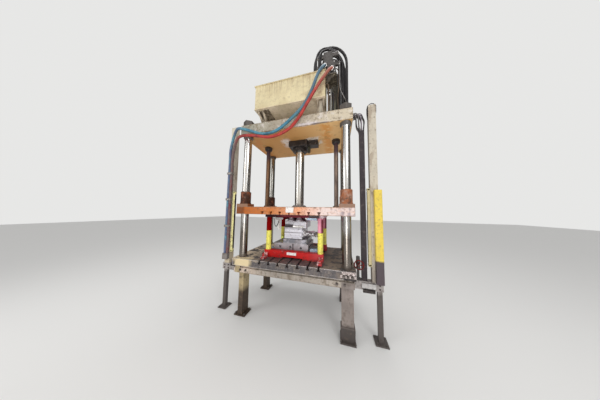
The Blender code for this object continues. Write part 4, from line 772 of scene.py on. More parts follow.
# opens the piece for editing with just the faces that pass the test selected
def pick(piece, test):
    only(piece)
    bpy.ops.object.mode_set(mode="EDIT")
    bpy.ops.mesh.select_mode(type="FACE")
    bpy.ops.mesh.select_all(action="DESELECT")
    bpy.ops.object.mode_set(mode="OBJECT")
    for face in piece.data.polygons:
        face.select = test(face.center, face.normal)
    bpy.ops.object.mode_set(mode="EDIT")


def facing(direction, least=0.9):
    aim = Vector(direction)
    return lambda place, normal: normal.dot(aim) > least


def inset(width):
    bpy.ops.mesh.inset(thickness=width, depth=0)


def pull(x, y, z):
    bpy.ops.mesh.extrude_region_move(TRANSFORM_OT_translate={"value": (x, y, z)})


def shrink(x, y, z, centre):
    bpy.ops.transform.resize(value=(x, y, z), center_override=centre)


def closeEdit():
    bpy.ops.object.mode_set(mode="OBJECT")


def chamfer(piece, width, segments=2, angle=40):
    only(piece)
    bpy.ops.object.modifier_add(type="BEVEL")
    edge = piece.modifiers[-1]
    edge.width = width
    edge.segments = segments
    edge.limit_method = "ANGLE"
    edge.angle_limit = math.radians(angle)
    bpy.ops.object.modifier_apply(modifier=edge.name)


def copyTo(piece, place, aim):
    other = piece.copy()
    other.data = piece.data.copy()
    scene.collection.objects.link(other)
    turn = Vector(aim).to_track_quat("Z", "Y").to_matrix().to_4x4()
    other.data.transform(Matrix.Translation(Vector(place)) @ turn)
    return other


def joined(pieces):
    bpy.ops.object.select_all(action="DESELECT")
    for piece in pieces:
        piece.select_set(True)
    bpy.context.view_layer.objects.active = pieces[0]
    if len(pieces) > 1:
        bpy.ops.object.join()
    return bpy.context.view_layer.objects.active


def finishPiece(piece, name, finish, body="press_frame"):
    piece.name = name
    piece.data.name = name
    only(piece)
    bpy.ops.object.shade_smooth_by_angle(angle=math.radians(smoothSpec["angle"]))
    wearFinish(piece, finish)
    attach(piece, body)
    return piece


# a plain bar or plate with softened edges, and a shallow recess pressed into one side
def softBlock(low, high, edge, recess):
    block = addBlock(low, high)
    direction, border, depth = recess
    pick(block, facing(direction))
    inset(border)
    pull(*[-depth * part for part in direction])
    closeEdit()
    chamfer(block, edge)
    return block


# several such blocks with the recess at the front, on the frame unless another body is named
def dressBlocks(specs, edge, border, depth):
    for name, spec in specs.items():
        block = softBlock(spec["low"], spec["high"], edge, (front, border, depth))
        finishPiece(block, name, spec["finish"], spec.get("body", "press_frame"))


# the parts of a bolt, as shares of its width or its height
boltShape = {
    "washerWide": 1.3, "washerHigh": 0.22, "sides": {"hex": 6, "socket": 12}, "shoulder": 0.15, "head": 0.62,
    "rim": 0.10, "top": 0.16, "socketRim": 0.16, "socketDeep": 0.4,
}


# a bolt standing on z 0: a washer, then the head pulled up from it, with a socket or a chamfered hexagon
def makeBolt(width, height, head):
    shape = boltShape
    washer = height * shape["washerHigh"]
    bolt = addRound(width * shape["washerWide"], washer, (0, 0, washer / 2), sides=shape["sides"][head])
    pick(bolt, facing(up))
    inset(width * shape["shoulder"])
    pull(0, 0, height * shape["head"])
    inset(width * shape["rim"])
    if head == "hex":
        bpy.ops.transform.translate(value=(0, 0, height * shape["top"]))
    else:
        inset(width * shape["socketRim"])
        pull(0, 0, -height * shape["socketDeep"])
    closeEdit()
    return bolt


# steel bolts that stand up on the frame, unless the set says otherwise
def boltSet(name, spec):
    bolt = makeBolt(spec["width"], spec["height"], spec.get("head", "hex"))
    row = [copyTo(bolt, place, spec.get("aim", up)) for place in spec["places"]]
    bpy.data.objects.remove(bolt)
    finishPiece(joined(row), name, spec.get("finish", "boltSteel"), spec.get("body", "press_frame"))


def ringOf(centre, radius, count):
    x, y, z = centre
    turns = [2 * math.pi * index / count for index in range(count)]
    return [(x + radius * math.cos(turn), y + radius * math.sin(turn), z) for turn in turns]


def rowOf(first, last, count):
    a, b = Vector(first), Vector(last)
    return [tuple(a.lerp(b, index / (count - 1))) for index in range(count)]


# small finishes that only the added pieces wear

layeredFinish("paleDirty", {
    "colour": (0.60, 0.52, 0.50), "rough": 0.5, "metal": 0.2, "tone": 0.2, "toneSize": 16.0,
    "layers": [
        coat((0.16, 0.11, 0.09), 0.6, 0.85, patch=(16.0, 0.50, 0.60), metal=0.1),
        specks((0.07, 0.05, 0.045), 0.8, 34.0),
    ]})
layeredFinish("lilacDirt", {
    "colour": (0.26, 0.22, 0.26), "rough": 0.6, "tone": 0.25, "toneSize": 14.0,
    "layers": [
        coat((0.10, 0.075, 0.080), 0.65, 0.85, patch=(18.0, 0.50, 0.60)),
        specks((0.48, 0.42, 0.46), 0.6, 30.0),
    ]})
layeredFinish("plateOlive", {
    "colour": (0.185, 0.170, 0.125), "rough": 0.5, "tone": 0.2, "toneSize": 12.0,
    "layers": [
        coat((0.060, 0.042, 0.034), 0.6, 0.9, limits=(("z", 3.62, 3.72),), ragged=0.08),
        coat((0.30, 0.275, 0.21), 0.55, 0.7, patch=(14.0, 0.52, 0.62), stretch=(2.0, 2.0, 0.5)),
        specks((0.05, 0.04, 0.032), 0.7, 30.0),
    ]})
layeredFinish("mechanismSteel", {
    "colour": (0.60, 0.58, 0.60), "rough": 0.4, "metal": 0.4, "tone": 0.2, "toneSize": 20.0,
    "layers": [
        coat((0.055, 0.042, 0.040), 0.6, 0.92, patch=(26.0, 0.42, 0.48), metal=0.2),
        specks((0.80, 0.76, 0.72), 0.6, 44.0),
    ]})
layeredFinish("brownLine", {
    "colour": (0.100, 0.066, 0.042), "rough": 0.5, "tone": 0.2, "toneSize": 14.0,
    "layers": [coat((0.24, 0.17, 0.11), 0.6, 0.7, patch=(9.0, 0.54, 0.66))]})
layeredFinish("oliveSteel", {
    "colour": (0.060, 0.056, 0.036), "rough": 0.5, "metal": 0.2, "tone": 0.2, "toneSize": 20.0,
    "layers": [specks((0.15, 0.13, 0.08), 0.5, 30.0)]})
layeredFinish("boltSteel", {
    "colour": (0.15, 0.13, 0.12), "rough": 0.42, "metal": 0.7, "tone": 0.2, "toneSize": 30.0,
    "layers": [coat((0.09, 0.055, 0.035), 0.7, 0.7, patch=(40.0, 0.55, 0.66), metal=0.2)]})
layeredFinish("blackRubber", {
    "colour": (0.024, 0.022, 0.024), "rough": 0.55, "tone": 0.2, "toneSize": 16.0,
    "layers": [grime((0.09, 0.08, 0.07), 0.5, 20.0)]})
layeredFinish("barePlate", {
    "colour": (0.80, 0.77, 0.74), "rough": 0.45, "tone": 0.05,
    "layers": [grime((0.48, 0.42, 0.38), 0.5, 22.0), specks((0.30, 0.25, 0.22), 0.4, 60.0)]})
layeredFinish("darkGlass", {
    "colour": (0.030, 0.022, 0.026), "rough": 0.12, "tone": 0.1, "bump": (200.0, 0.02, 0.0001)})
layeredFinish("paleMetal", {
    "colour": (0.62, 0.60, 0.585), "rough": 0.32, "metal": 0.75, "tone": 0.1, "toneSize": 20.0,
    "layers": [coat((0.24, 0.20, 0.17), 0.5, 0.7, patch=(26.0, 0.56, 0.66), metal=0.4)]})
layeredFinish("coilShell", {
    "colour": (0.060, 0.050, 0.056), "rough": 0.45, "metal": 0.1, "tone": 0.2, "toneSize": 16.0,
    "layers": [grime((0.13, 0.10, 0.09), 0.6, 26.0)]})
layeredFinish("greyCable", {
    "colour": (0.20, 0.185, 0.18), "rough": 0.5, "tone": 0.15, "toneSize": 14.0,
    "layers": [grime((0.10, 0.085, 0.075), 0.6, 18.0)]})
layeredFinish("dirtyYellow", {
    "colour": (0.50, 0.55, 0.12), "rough": 0.5, "tone": 0.15, "toneSize": 20.0,
    "layers": [grime((0.25, 0.22, 0.08), 0.6, 26.0)]})
layeredFinish("blueSteel", {
    "colour": (0.42, 0.56, 0.68), "rough": 0.35, "metal": 0.3, "tone": 0.12, "toneSize": 16.0,
    "layers": [grime((0.20, 0.22, 0.26), 0.5, 26.0)]})
layeredFinish("greyBar", {
    "colour": (0.52, 0.50, 0.49), "rough": 0.4, "metal": 0.3, "tone": 0.12, "toneSize": 16.0,
    "layers": [grime((0.20, 0.17, 0.16), 0.6, 26.0)]})


# bolts: one kind of head modelled for each set, then copied to its places

crownTop = crownHigh[2]
pullFlangeTop = crownTop + 0.035
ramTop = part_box("ram_cylinder")[0][2] + 0.050
pullX = 0.692

boltSpec = {
    "tankRimBoltsFront": {"width": 0.012, "height": 0.010,
                          "places": rowOf((-0.70, -0.524, 3.974), (0.42, -0.524, 3.974), 10)},
    "tankRimBoltsRear": {"width": 0.012, "height": 0.010,
                         "places": rowOf((-0.70, -0.197, 3.974), (0.36, -0.197, 3.974), 10)},
    "ramFlangeBolts": {"width": 0.030, "height": 0.030, "places": ringOf((0, 0, ramTop), 0.196, 12)},
    "pullFlangeBoltsLeft": {"width": 0.018, "height": 0.018,
                            "places": ringOf((-pullX, 0, pullFlangeTop), 0.1085, 8)},
    "pullFlangeBoltsRight": {"width": 0.018, "height": 0.018,
                             "places": ringOf((pullX, 0, pullFlangeTop), 0.1085, 8)},
    "ramCapBolts": {"width": 0.026, "height": 0.026, "head": "socket",
                    "places": ringOf((0, 0, 4.2783), 0.145, 10)},
    "glandBolts": {"width": 0.026, "height": 0.022, "head": "socket", "aim": down,
                   "places": [(x, y, 2.9407) for x in (-0.150, 0.150) for y in (-0.150, 0.150)]},
    "glandPortBolts": {"width": 0.018, "height": 0.014, "head": "socket", "aim": front,
                       "places": [(x, -0.120, z) for x in (0.225, 0.325) for z in (2.978, 3.028)]},
    "pullGlandBolts": {"width": 0.012, "height": 0.010, "head": "socket", "aim": down,
                       "places": [place for side in (-pullX, pullX)
                                  for place in ringOf((side, 0, 2.9807), 0.050, 6)]},
    "ramFootBolts": {"width": 0.020, "height": 0.020, "body": "platen_group",
                     "places": ringOf((0, 0, 1.8173), 0.112, 8)},
    "bushingBolts": {"width": 0.009, "height": 0.007, "head": "socket", "body": "platen_group",
                     "places": [place for x in (-0.838, 0.838) for y in (-0.485, 0.485)
                                for place in ringOf((x, y, 2.0433), 0.0715, 8)]},
    "bedEndBolts": {"width": 0.030, "height": 0.022, "aim": front,
                    "places": [(x, -0.595, 0.775) for x in (-0.80, -0.70, 0.70, 0.80)]},
    "footBoltsLeft": {"width": 0.022, "height": 0.022,
                      "places": [(x, side * y, 0.020) for x in (-0.930, -0.771) for y in (0.335, 0.485)
                                 for side in (-1, 1)]},
    "footBoltsRight": {"width": 0.022, "height": 0.022,
                       "places": [(x, side * y, 0.020) for x in (0.750, 0.930) for y in (0.370, 0.525)
                                  for side in (-1, 1)]},
    "outriggerFootBolts": {"width": 0.018, "height": 0.018,
                           "places": [(side * (1.263 + across), -0.365 + along, 0.016) for side in (-1, 1)
                                      for across in (-0.056, 0.056) for along in (-0.056, 0.056)]},
    "outriggerArmBolts": {"width": 0.020, "height": 0.016, "aim": front,
                          "places": [(side * x, -0.430, z) for side in (-1, 1) for x in (1.175, 1.255)
                                     for z in (0.700, 0.750)]},
    "manifoldBolts": {"width": 0.020, "height": 0.014, "head": "socket", "aim": front, "finish": "paleMetal",
                      "places": [(x, -0.420, z) for x in (0.475, 0.675) for z in (4.015, 4.185)]},
    "stackBolts": {"width": 0.018, "height": 0.014, "head": "socket",
                   "places": [(x, y, 4.4006) for x in (0.520, 0.630) for y in (-0.400, -0.360)]},
    "railScrews": {"width": 0.012, "height": 0.009, "head": "socket", "aim": front, "finish": "paleMetal",
                   "places": [(-1.1885 - 0.0265, -0.492, z + 0.020) for z in (2.38, 1.90, 1.42)]},
}

for name, spec in boltSpec.items():
    boltSet(name, spec)
print("bolt sets:", len(boltSpec))


# the valve block: coil caps, plugs and connectors, and a ferrule on each hose end

coilSpec = {
    "stack": {"y": -0.315, "z": 4.2456, "ends": (0.395, 0.755)},
    "front": {"y": -0.380, "z": 4.3531, "ends": (0.410, 0.740)},
    "cap": {"diameter": 0.058, "length": 0.014, "sides": 20, "rim": 0.012, "step": 0.007, "pin": 0.010,
            "sink": 0.004, "edge": 0.0015},
    "plug": {"wide": 0.034, "deep": 0.044, "high": 0.030, "inward": 0.050, "above": 0.031, "lip": 0.004,
             "cover": 0.003, "screw": 0.009, "sink": 0.0015, "gland": 0.012, "edge": 0.002},
}


# a cap on the end of a coil, stepped in and then pulled out to a short pin
def makeCoilCap(x, y, z, side, shape):
    cap = addRound(shape["diameter"], shape["length"], (x + side * shape["length"] / 2, y, z), "x", shape["sides"])
    pick(cap, facing((side, 0, 0)))
    inset(shape["rim"])
    pull(side * shape["step"], 0, 0)
    inset(shape["pin"])
    pull(-side * shape["sink"], 0, 0)
    closeEdit()
    chamfer(cap, shape["edge"])
    return cap


# the square plug on top of a coil, with its cover screwed down and its cable gland at the outer side
def makeCoilPlug(x, y, z, side, shape):
    wide, deep, high = shape["wide"], shape["deep"], shape["high"]
    plug = addBlock((x - wide / 2, y - deep / 2, z), (x + wide / 2, y + deep / 2, z + high))
    pick(plug, facing(up))
    inset(shape["lip"])
    pull(0, 0, shape["cover"])
    inset(shape["screw"])
    pull(0, 0, -shape["sink"])
    closeEdit()
    pick(plug, facing((side, 0, 0)))
    inset(shape["screw"])
    pull(side * shape["gland"], 0, 0)
    closeEdit()
    chamfer(plug, shape["edge"])
    return plug


caps, plugs = [], []
for word in ("stack", "front"):
    spec, plug = coilSpec[word], coilSpec["plug"]
    for side, end in zip((-1, 1), spec["ends"]):
        caps.append(makeCoilCap(end, spec["y"], spec["z"], side, coilSpec["cap"]))
        plugs.append(makeCoilPlug(end - side * plug["inward"], spec["y"], spec["z"] + plug["above"], side, plug))
finishPiece(joined(caps), "coilCaps", "paleMetal")
finishPiece(joined(plugs), "coilPlugs", "coilShell")

ferruleSpec = {
    "aim": (0, -math.sqrt(0.5), -math.sqrt(0.5)), "length": 0.050, "wide": 0.057, "narrow": 0.050, "sides": 20,
    "rings": (0.010, 0.020, 0.030, 0.040), "squeezed": (0.010, 0.030), "edge": 0.001,
}


# a crimped ferrule round the first stretch of a hose: rings squeezed in along its length
def makeFerrule(start, spec):
    sleeve = addRound(spec["wide"], spec["length"], (0, 0, spec["length"] / 2), "z", spec["sides"])
    only(sleeve)
    bpy.ops.object.mode_set(mode="EDIT")
    for height in spec["rings"]:
        bpy.ops.mesh.select_all(action="SELECT")
        bpy.ops.mesh.bisect(plane_co=(0, 0, height), plane_no=up)
    closeEdit()
    narrower = spec["narrow"] / spec["wide"]
    for point in sleeve.data.vertices:
        if any(abs(point.co.z - height) < 0.001 for height in spec["squeezed"]):
            point.co.x *= narrower
            point.co.y *= narrower
    chamfer(sleeve, spec["edge"], 1, 50)
    placed = copyTo(sleeve, start, spec["aim"])
    bpy.data.objects.remove(sleeve)
    return placed


ferrules = [makeFerrule(hoseSpec[word]["points"][0], ferruleSpec) for word in ("blue", "red")]
finishPiece(joined(ferrules), "hoseFerrules", "paleMetal")


# black lines that loop over the valve block inside the big one, and go down to the crown:
# each starts in the block, rises to its shoulder, arches over and comes straight down

archSpec = {
    "steps": 12, "foot": 4.2106, "tuck": 0.20, "neck": 0.08, "fall": 0.25, "crown": 3.2283, "straight": 0.30,
    "lines": {
        "outerLine": {"left": (0.385, -0.455), "right": (0.842, -0.190), "shoulder": 4.235, "rise": 0.315,
                      "diameter": 0.030},
        "middleLine": {"left": (0.430, -0.462), "right": (0.812, -0.235), "shoulder": 4.230, "rise": 0.255,
                       "diameter": 0.034},
        "innerLine": {"left": (0.455, -0.440), "right": (0.800, -0.160), "shoulder": 4.300, "rise": 0.225,
                      "diameter": 0.028},
        "rearLine": {"left": (0.480, -0.300), "right": (0.770, -0.215), "shoulder": 4.330, "rise": 0.160,
                     "diameter": 0.026},
        "lowLine": {"left": (0.520, -0.250), "right": (0.745, -0.180), "shoulder": 4.330, "rise": 0.110,
                    "diameter": 0.024},
        "farLine": {"left": (0.400, -0.230), "right": (0.862, -0.110), "shoulder": 4.260, "rise": 0.250,
                    "diameter": 0.034},
    },
}


def archPoints(line, spec):
    (leftX, leftY), (rightX, rightY) = line["left"], line["right"]
    points = [(leftX, leftY, spec["foot"] - spec["tuck"]), (leftX, leftY, line["shoulder"] - spec["neck"])]
    for index in range(spec["steps"] + 1):
        turn = math.pi * index / spec["steps"]
        along = (1 - math.cos(turn)) / 2
        points.append((leftX + (rightX - leftX) * along, leftY + (rightY - leftY) * along,
                       line["shoulder"] + line["rise"] * math.sin(turn)))
    points += [(rightX, rightY, line["shoulder"] - spec["fall"]),
               (rightX, rightY, spec["crown"] + spec["straight"]), (rightX, rightY, spec["crown"])]
    return points


for name, line in archSpec["lines"].items():
    runLine("arch_" + name, archPoints(line, archSpec), line["diameter"], "blackLine")
print("valve block dressed")


# light curtains: a recessed dark window down the inner side, end caps and two brackets

curtainSpec = {
    "low": 0.985, "high": 2.060,
    "window": {"margin": 0.006, "proud": 0.003, "ends": 0.045, "edge": 0.001, "border": 0.004, "depth": 0.0015},
    "cap": {"height": 0.030, "proud": 0.002, "past": 0.004, "edge": 0.004, "border": 0.006, "depth": 0.002},
    "bracket": {"height": 0.035, "proud": 0.003, "reach": 0.050, "fromLow": 0.16, "fromHigh": 0.20, "edge": 0.0012},
}


def dressCurtain(word, side, spec):
    low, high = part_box("light_curtain_" + word)
    inner = low[0] if side > 0 else high[0]
    window = spec["window"]
    proud = inner - side * window["proud"]
    pane = softBlock((min(inner, proud), low[1] + window["margin"], spec["low"] + window["ends"]),
                     (max(inner, proud), high[1] - window["margin"], spec["high"] - window["ends"]),
                     window["edge"], ((-side, 0, 0), window["border"], window["depth"]))
    finishPiece(pane, "curtainWindow_" + word, "darkGlass")
    cap = spec["cap"]
    caps = []
    for base in (spec["low"] - cap["past"], spec["high"] - cap["height"] + cap["past"]):
        caps.append(softBlock((low[0] - (cap["proud"] if side > 0 else 0), low[1] - cap["proud"], base),
                              (high[0] + (0 if side > 0 else cap["proud"]), high[1] + cap["proud"],
                               base + cap["height"]),
                              cap["edge"], (front, cap["border"], cap["depth"])))
    finishPiece(joined(caps), "curtainCaps_" + word, "curtainHousing")
    bracket = spec["bracket"]
    brackets = []
    for z in (spec["low"] + bracket["fromLow"], spec["high"] - bracket["fromHigh"]):
        strap = addBlock((low[0] - (bracket["proud"] if side > 0 else 0), low[1] - bracket["proud"], z),
                         (high[0] + (0 if side > 0 else bracket["proud"]), low[1], z + bracket["height"]))
        pick(strap, facing((side, 0, 0)))
        pull(side * bracket["reach"], 0, 0)
        closeEdit()
        chamfer(strap, bracket["edge"], 1)
        brackets.append(strap)
    finishPiece(joined(brackets), "curtainBrackets_" + word, "curtainHousing")


dressCurtain("left", -1, curtainSpec)
dressCurtain("right", 1, curtainSpec)


# cables: a bundle in the open channel, loops over the right post, and a run from the channel over to the crown

cableSpec = {
    "sides": 3,
    "channel": {"x": (1.052, 1.064, 1.077, 1.090), "y": (-0.386, -0.378, -0.388, -0.376), "steps": 12,
                "sway": 0.0025, "low": 0.800, "high": 2.930, "diameters": (0.012, 0.010, 0.013, 0.009)},
    "postLoops": {"count": 3, "x": 1.215, "reach": 0.058, "y": -0.405, "pitch": 0.024, "low": 3.200, "top": 3.310,
                  "rise": 0.040, "less": 0.007, "sway": 0.006, "steps": 8, "diameter": 0.010},
    "crownRun": {"count": 12, "row": 4, "x": 1.048, "pitch": 0.0145, "spread": 0.018, "y": -0.394, "top": 3.205,
                 "crown": 3.2283, "diameter": 0.015, "finishes": ("blackRubber", "greyCable", "lilacDirt")},
}


def layChannelCables(run, sides):
    for index, (x, y, diameter) in enumerate(zip(run["x"], run["y"], run["diameters"])):
        points = []
        for step in range(run["steps"] + 1):
            z = run["low"] + (run["high"] - run["low"]) * step / run["steps"]
            points.append((x + run["sway"] * math.sin(step * 1.9 + index),
                           y + run["sway"] * math.cos(step * 1.3 + index), z))
        finish = "greyCable" if index % 2 else "blackRubber"
        runLine("channelCable_%d" % index, points, diameter, finish, sides=sides)


def layPostLoops(loops, sides):
    near, far = loops["x"] - loops["reach"], loops["x"] + loops["reach"]
    for index in range(loops["count"]):
        y = loops["y"] + loops["pitch"] * index
        rise = loops["rise"] - loops["less"] * index
        points = [(near + 0.006, y, loops["low"] - 0.03 * index), (near, y, loops["low"] + 0.02), (near, y, 3.28)]
        for step in range(loops["steps"] + 1):
            turn = math.pi * step / loops["steps"]
            points.append((loops["x"] - loops["reach"] * math.cos(turn), y + loops["sway"] * math.sin(3 * turn),
                           loops["top"] + rise * math.sin(turn)))
        points += [(far, y, 3.26), (far - 0.001, y, 3.21), (far - 0.007, y, 3.18 - 0.02 * index)]
        runLine("postCable_%d" % index, points, loops["diameter"], "blackRubber", sides=sides)


# each cable comes up out of the channel, spreads, leans over to the left and lies down on the crown
def layCrownRun(over, sides):
    lying = over["crown"] + over["diameter"] / 2
    for index in range(over["count"]):
        across = index % over["row"]
        x = over["x"] + over["pitch"] * across
        spread = over["spread"] * (across - 1.5)
        y = over["y"] + 0.019 * (index // over["row"]) + 0.004 * (index % 3)
        top = over["top"] + 0.012 * ((index * 5) % 7)
        points = [(x, y, 2.86), (x + spread / 3, y, 2.95), (x - 0.012 + spread, y + 0.004, 3.02),
                  (x - 0.014 + spread * 1.3, y, 3.09), (x - 0.022 + spread, y + 0.008, top - 0.06),
                  (x - 0.050 + spread, y + 0.018, top - 0.006), (x - 0.085 + spread / 2, y + 0.030, top),
                  (x - 0.125, y + 0.045, top - 0.018), (0.930 - 0.008 * index, y + 0.060, lying),
                  (0.900 - 0.012 * index, y + 0.085, lying), (0.872 - 0.010 * index, y + 0.125, lying)]
        finish = over["finishes"][index % 3]
        runLine("crownCable_%d" % index, points, over["diameter"], finish, sides=sides)


layChannelCables(cableSpec["channel"], cableSpec["sides"])
layPostLoops(cableSpec["postLoops"], cableSpec["sides"])
layCrownRun(cableSpec["crownRun"], cableSpec["sides"])


# bare plates at the places for words on the front rail and the platen

plateSpec = {
    "railPlate": {"low": (-0.092, -0.3835, 1.010), "high": (0.068, -0.3800, 1.052), "finish": "barePlate"},
    "platenPlate": {"low": (-0.052, -0.5795, 1.700), "high": (0.072, -0.5760, 1.780), "finish": "barePlate",
                    "body": "platen_group"},
}
dressBlocks(plateSpec, 0.001, 0.005, 0.0012)


# the upper die: a dark plate and a step on its face, bars and a strip under the shoe, a guide and a stop beside it

dieSpec = {
    "headPlate": {"low": (-0.188, -0.226, 1.436), "high": (-0.052, -0.200, 1.486), "finish": "coilShell",
                  "body": "platen_group"},
    "headStep": {"low": (-0.050, -0.222, 1.436), "high": (0.150, -0.200, 1.470), "finish": "paleMetal",
                 "body": "platen_group"},
    "leftBar": {"low": (-0.345, -0.306, 1.575), "high": (-0.203, -0.298, 1.608), "finish": "greyBar",
                "body": "platen_group"},
    "rightBar": {"low": (0.226, -0.306, 1.575), "high": (0.393, -0.298, 1.612), "finish": "blueSteel",
                 "body": "platen_group"},
    # painted shade: a thin dark strip for the shadowed front under the platen
    "shoeShadeStrip": {"low": (0.270, -0.3835, 1.622), "high": (0.430, -0.380, 1.652), "finish": "coilShell",
                  "body": "platen_group"},
    "sideGuideLeft": {"low": (-0.238, -0.140, 1.262), "high": (-0.200, 0.140, 1.440), "finish": "dieSteel",
                      "body": "platen_group"},
    "yellowStop": {"low": (-0.262, -0.235, 1.2403), "high": (-0.222, -0.195, 1.2803), "finish": "dirtyYellow"},
    "whiteGuide": {"low": (-0.316, -0.262, 1.400), "high": (-0.282, -0.230, 1.575), "finish": "barePlate",
                   "body": "platen_group"},
}
dressBlocks(dieSpec, 0.002, 0.006, 0.002)
print("dies dressed")


# the corners of the bed: leg plates carried up its front, nuts and blocks on its right end, a bracket beside it

cornerSpec = {
    "legPlateLeft": {"low": (-0.893, -0.5995, 0.728), "high": (-0.806, -0.595, 0.833), "finish": "legPaintLeft"},
    "legPlateRight": {"low": (0.758, -0.5995, 0.728), "high": (0.920, -0.595, 0.805), "finish": "legPaintRight"},
    "cornerPad": {"low": (0.765, -0.617, 0.912), "high": (0.935, -0.6055, 0.944), "finish": "paleDirty"},
    "cornerStrap": {"low": (0.742, -0.618, 0.868), "high": (0.940, -0.6055, 0.902), "finish": "paleDirty"},
    "cornerStrapLow": {"low": (0.790, -0.612, 0.838), "high": (0.945, -0.5985, 0.866), "finish": "grimySteel"},
    "leftLump": {"low": (-1.020, -0.530, 0.815), "high": (-0.9505, -0.455, 0.905), "finish": "lilacDirt"},
    "leftLumpFoot": {"low": (-1.060, -0.520, 0.7803), "high": (-0.960, -0.430, 0.815), "finish": "grimySteel"},
    "bracketPlate": {"low": (1.030, -0.453, 0.700), "high": (1.205, -0.4453, 0.764), "finish": "greyBar"},
    "bracketLip": {"low": (1.040, -0.475, 0.655), "high": (1.190, -0.4453, 0.690), "finish": "grimySteel"},
}
dressBlocks(cornerSpec, 0.0015, 0.007, 0.0012)

cornerNutSpec = {
    "cornerNuts": {"width": 0.034, "height": 0.026, "aim": front, "finish": "paleDirty",
                   "places": [(0.792, -0.617, 0.929), (0.846, -0.617, 0.927), (0.905, -0.617, 0.929)]},
    "strapNuts": {"width": 0.032, "height": 0.022, "aim": front,
                  "places": [(x, -0.618, 0.885) for x in (0.790, 0.842, 0.895)]},
}
for name, spec in cornerNutSpec.items():
    boltSet(name, spec)


# the tank's right end: a pale panel between the stand's legs, two plates, and lines that come down beside it

panelSpec = {
    "panel": {"low": (0.420, -0.478, 3.2285), "high": (0.510, -0.472, 3.5105), "finish": "creamPost"},
    "linePlate": {"low": (0.5535, -0.202, 3.2285), "high": (0.690, -0.196, 3.800), "finish": "plateOlive"},
    "sidePlate": {"low": (0.820, -0.150, 3.2285), "high": (0.900, -0.144, 3.640), "finish": "plateOlive"},
}
dressBlocks(panelSpec, 0.001, 0.008, 0.0012)

tankLineSpec = {
    "drainLine": {"diameter": 0.024, "finish": "brownLine", "points": [
        (0.5493, -0.455, 3.775), (0.566, -0.455, 3.775), (0.581, -0.456, 3.760), (0.584, -0.457, 3.735),
        (0.584, -0.458, 3.560), (0.585, -0.458, 3.400), (0.585, -0.458, 3.2285)]},
    "leakLine": {"diameter": 0.016, "finish": "paleMetal", "points": [
        (0.5493, -0.400, 3.720), (0.575, -0.402, 3.720), (0.602, -0.405, 3.710), (0.618, -0.409, 3.680),
        (0.622, -0.411, 3.560), (0.620, -0.411, 3.400), (0.622, -0.411, 3.2285)]},
    "returnLine": {"diameter": 0.030, "finish": "blackLine", "points": [
        (0.5493, -0.300, 3.760), (0.585, -0.302, 3.760), (0.625, -0.306, 3.745), (0.650, -0.310, 3.700),
        (0.654, -0.312, 3.560), (0.652, -0.312, 3.400), (0.654, -0.312, 3.2285)]},
    "gaugeLine": {"diameter": 0.012, "finish": "paleMetal", "points": [
        (0.734, -0.136, 3.2285), (0.734, -0.136, 3.500), (0.737, -0.137, 3.800), (0.735, -0.138, 4.100),
        (0.728, -0.134, 4.240), (0.705, -0.115, 4.268), (0.692, -0.096, 4.268)]},
    "sideLineOne": {"diameter": 0.010, "finish": "paleMetal", "points": [
        (0.715, -0.330, 4.290), (0.748, -0.332, 4.240), (0.762, -0.325, 4.100), (0.764, -0.305, 3.820),
        (0.800, -0.302, 3.700), (0.868, -0.300, 3.530), (0.902, -0.299, 3.420), (0.908, -0.299, 3.330),
        (0.900, -0.299, 3.2285)]},
    "sideLineTwo": {"diameter": 0.010, "finish": "blackLine", "points": [
        (0.715, -0.395, 4.380), (0.752, -0.396, 4.300), (0.776, -0.380, 4.080), (0.786, -0.350, 3.820),
        (0.812, -0.340, 3.680), (0.862, -0.332, 3.520), (0.884, -0.328, 3.380), (0.882, -0.328, 3.2285)]},
    "sideLineThree": {"diameter": 0.014, "finish": "brownLine", "points": [
        (0.697, -0.300, 4.180), (0.728, -0.298, 4.160), (0.744, -0.290, 4.090), (0.745, -0.275, 3.860),
        (0.730, -0.262, 3.640), (0.742, -0.250, 3.420), (0.760, -0.244, 3.2285)]},
}
for name, line in tankLineSpec.items():
    runLine(name, line["points"], line["diameter"], line["finish"])


# a drop fitting under the gland's port block, fittings on the right return cylinder and a drain on the tank

fittingSpec = {
    "portFitting": {"aim": down, "finish": "oliveSteel", "place": (0.190, -0.050, 2.9557),
                    "steps": ((0.056, 0.030), (0.040, 0.040), (0.052, 0.034), (0.030, 0.022))},
    "cylinderFitting": {"aim": front, "finish": "valveSteel", "place": (0.692, -0.088, 4.262),
                        "steps": ((0.060, 0.022), (0.040, 0.020), (0.030, 0.018))},
    "cylinderBleed": {"aim": front, "finish": "paleMetal", "place": (0.660, -0.088, 4.215),
                      "steps": ((0.030, 0.016), (0.020, 0.016))},
    "tankDrain": {"aim": (-1, 0, 0), "finish": "grimySteel", "place": (-0.7165, -0.460, 3.560),
                  "steps": ((0.050, 0.006), (0.030, 0.008))},
}


# a body of rounds of several diameters down one axis, each pulled out of the last
def makeFitting(place, aim, steps):
    width, level = steps[0]
    body = addRound(width, level, (0, 0, level / 2))
    for wide, tall in steps[1:]:
        pick(body, lambda spot, normal: normal.z > 0.9 and spot.z > level - 0.001)
        share = wide / width
        if share < 1:
            inset((width - wide) / 2)
        else:
            pull(0, 0, 0)
            shrink(share, share, 1, (0, 0, level))
        pull(0, 0, tall)
        closeEdit()
        level += tall
        width = wide
    chamfer(body, 0.0012, 1, 50)
    placed = copyTo(body, place, aim)
    bpy.data.objects.remove(body)
    return placed


for name, spec in fittingSpec.items():
    finishPiece(makeFitting(spec["place"], spec["aim"], spec["steps"]), name, spec["finish"])


# round the dies: a line arched over the lower die and one on the upper, blocks at the lower die's sides,
# and a small mechanism at the right of the upper one

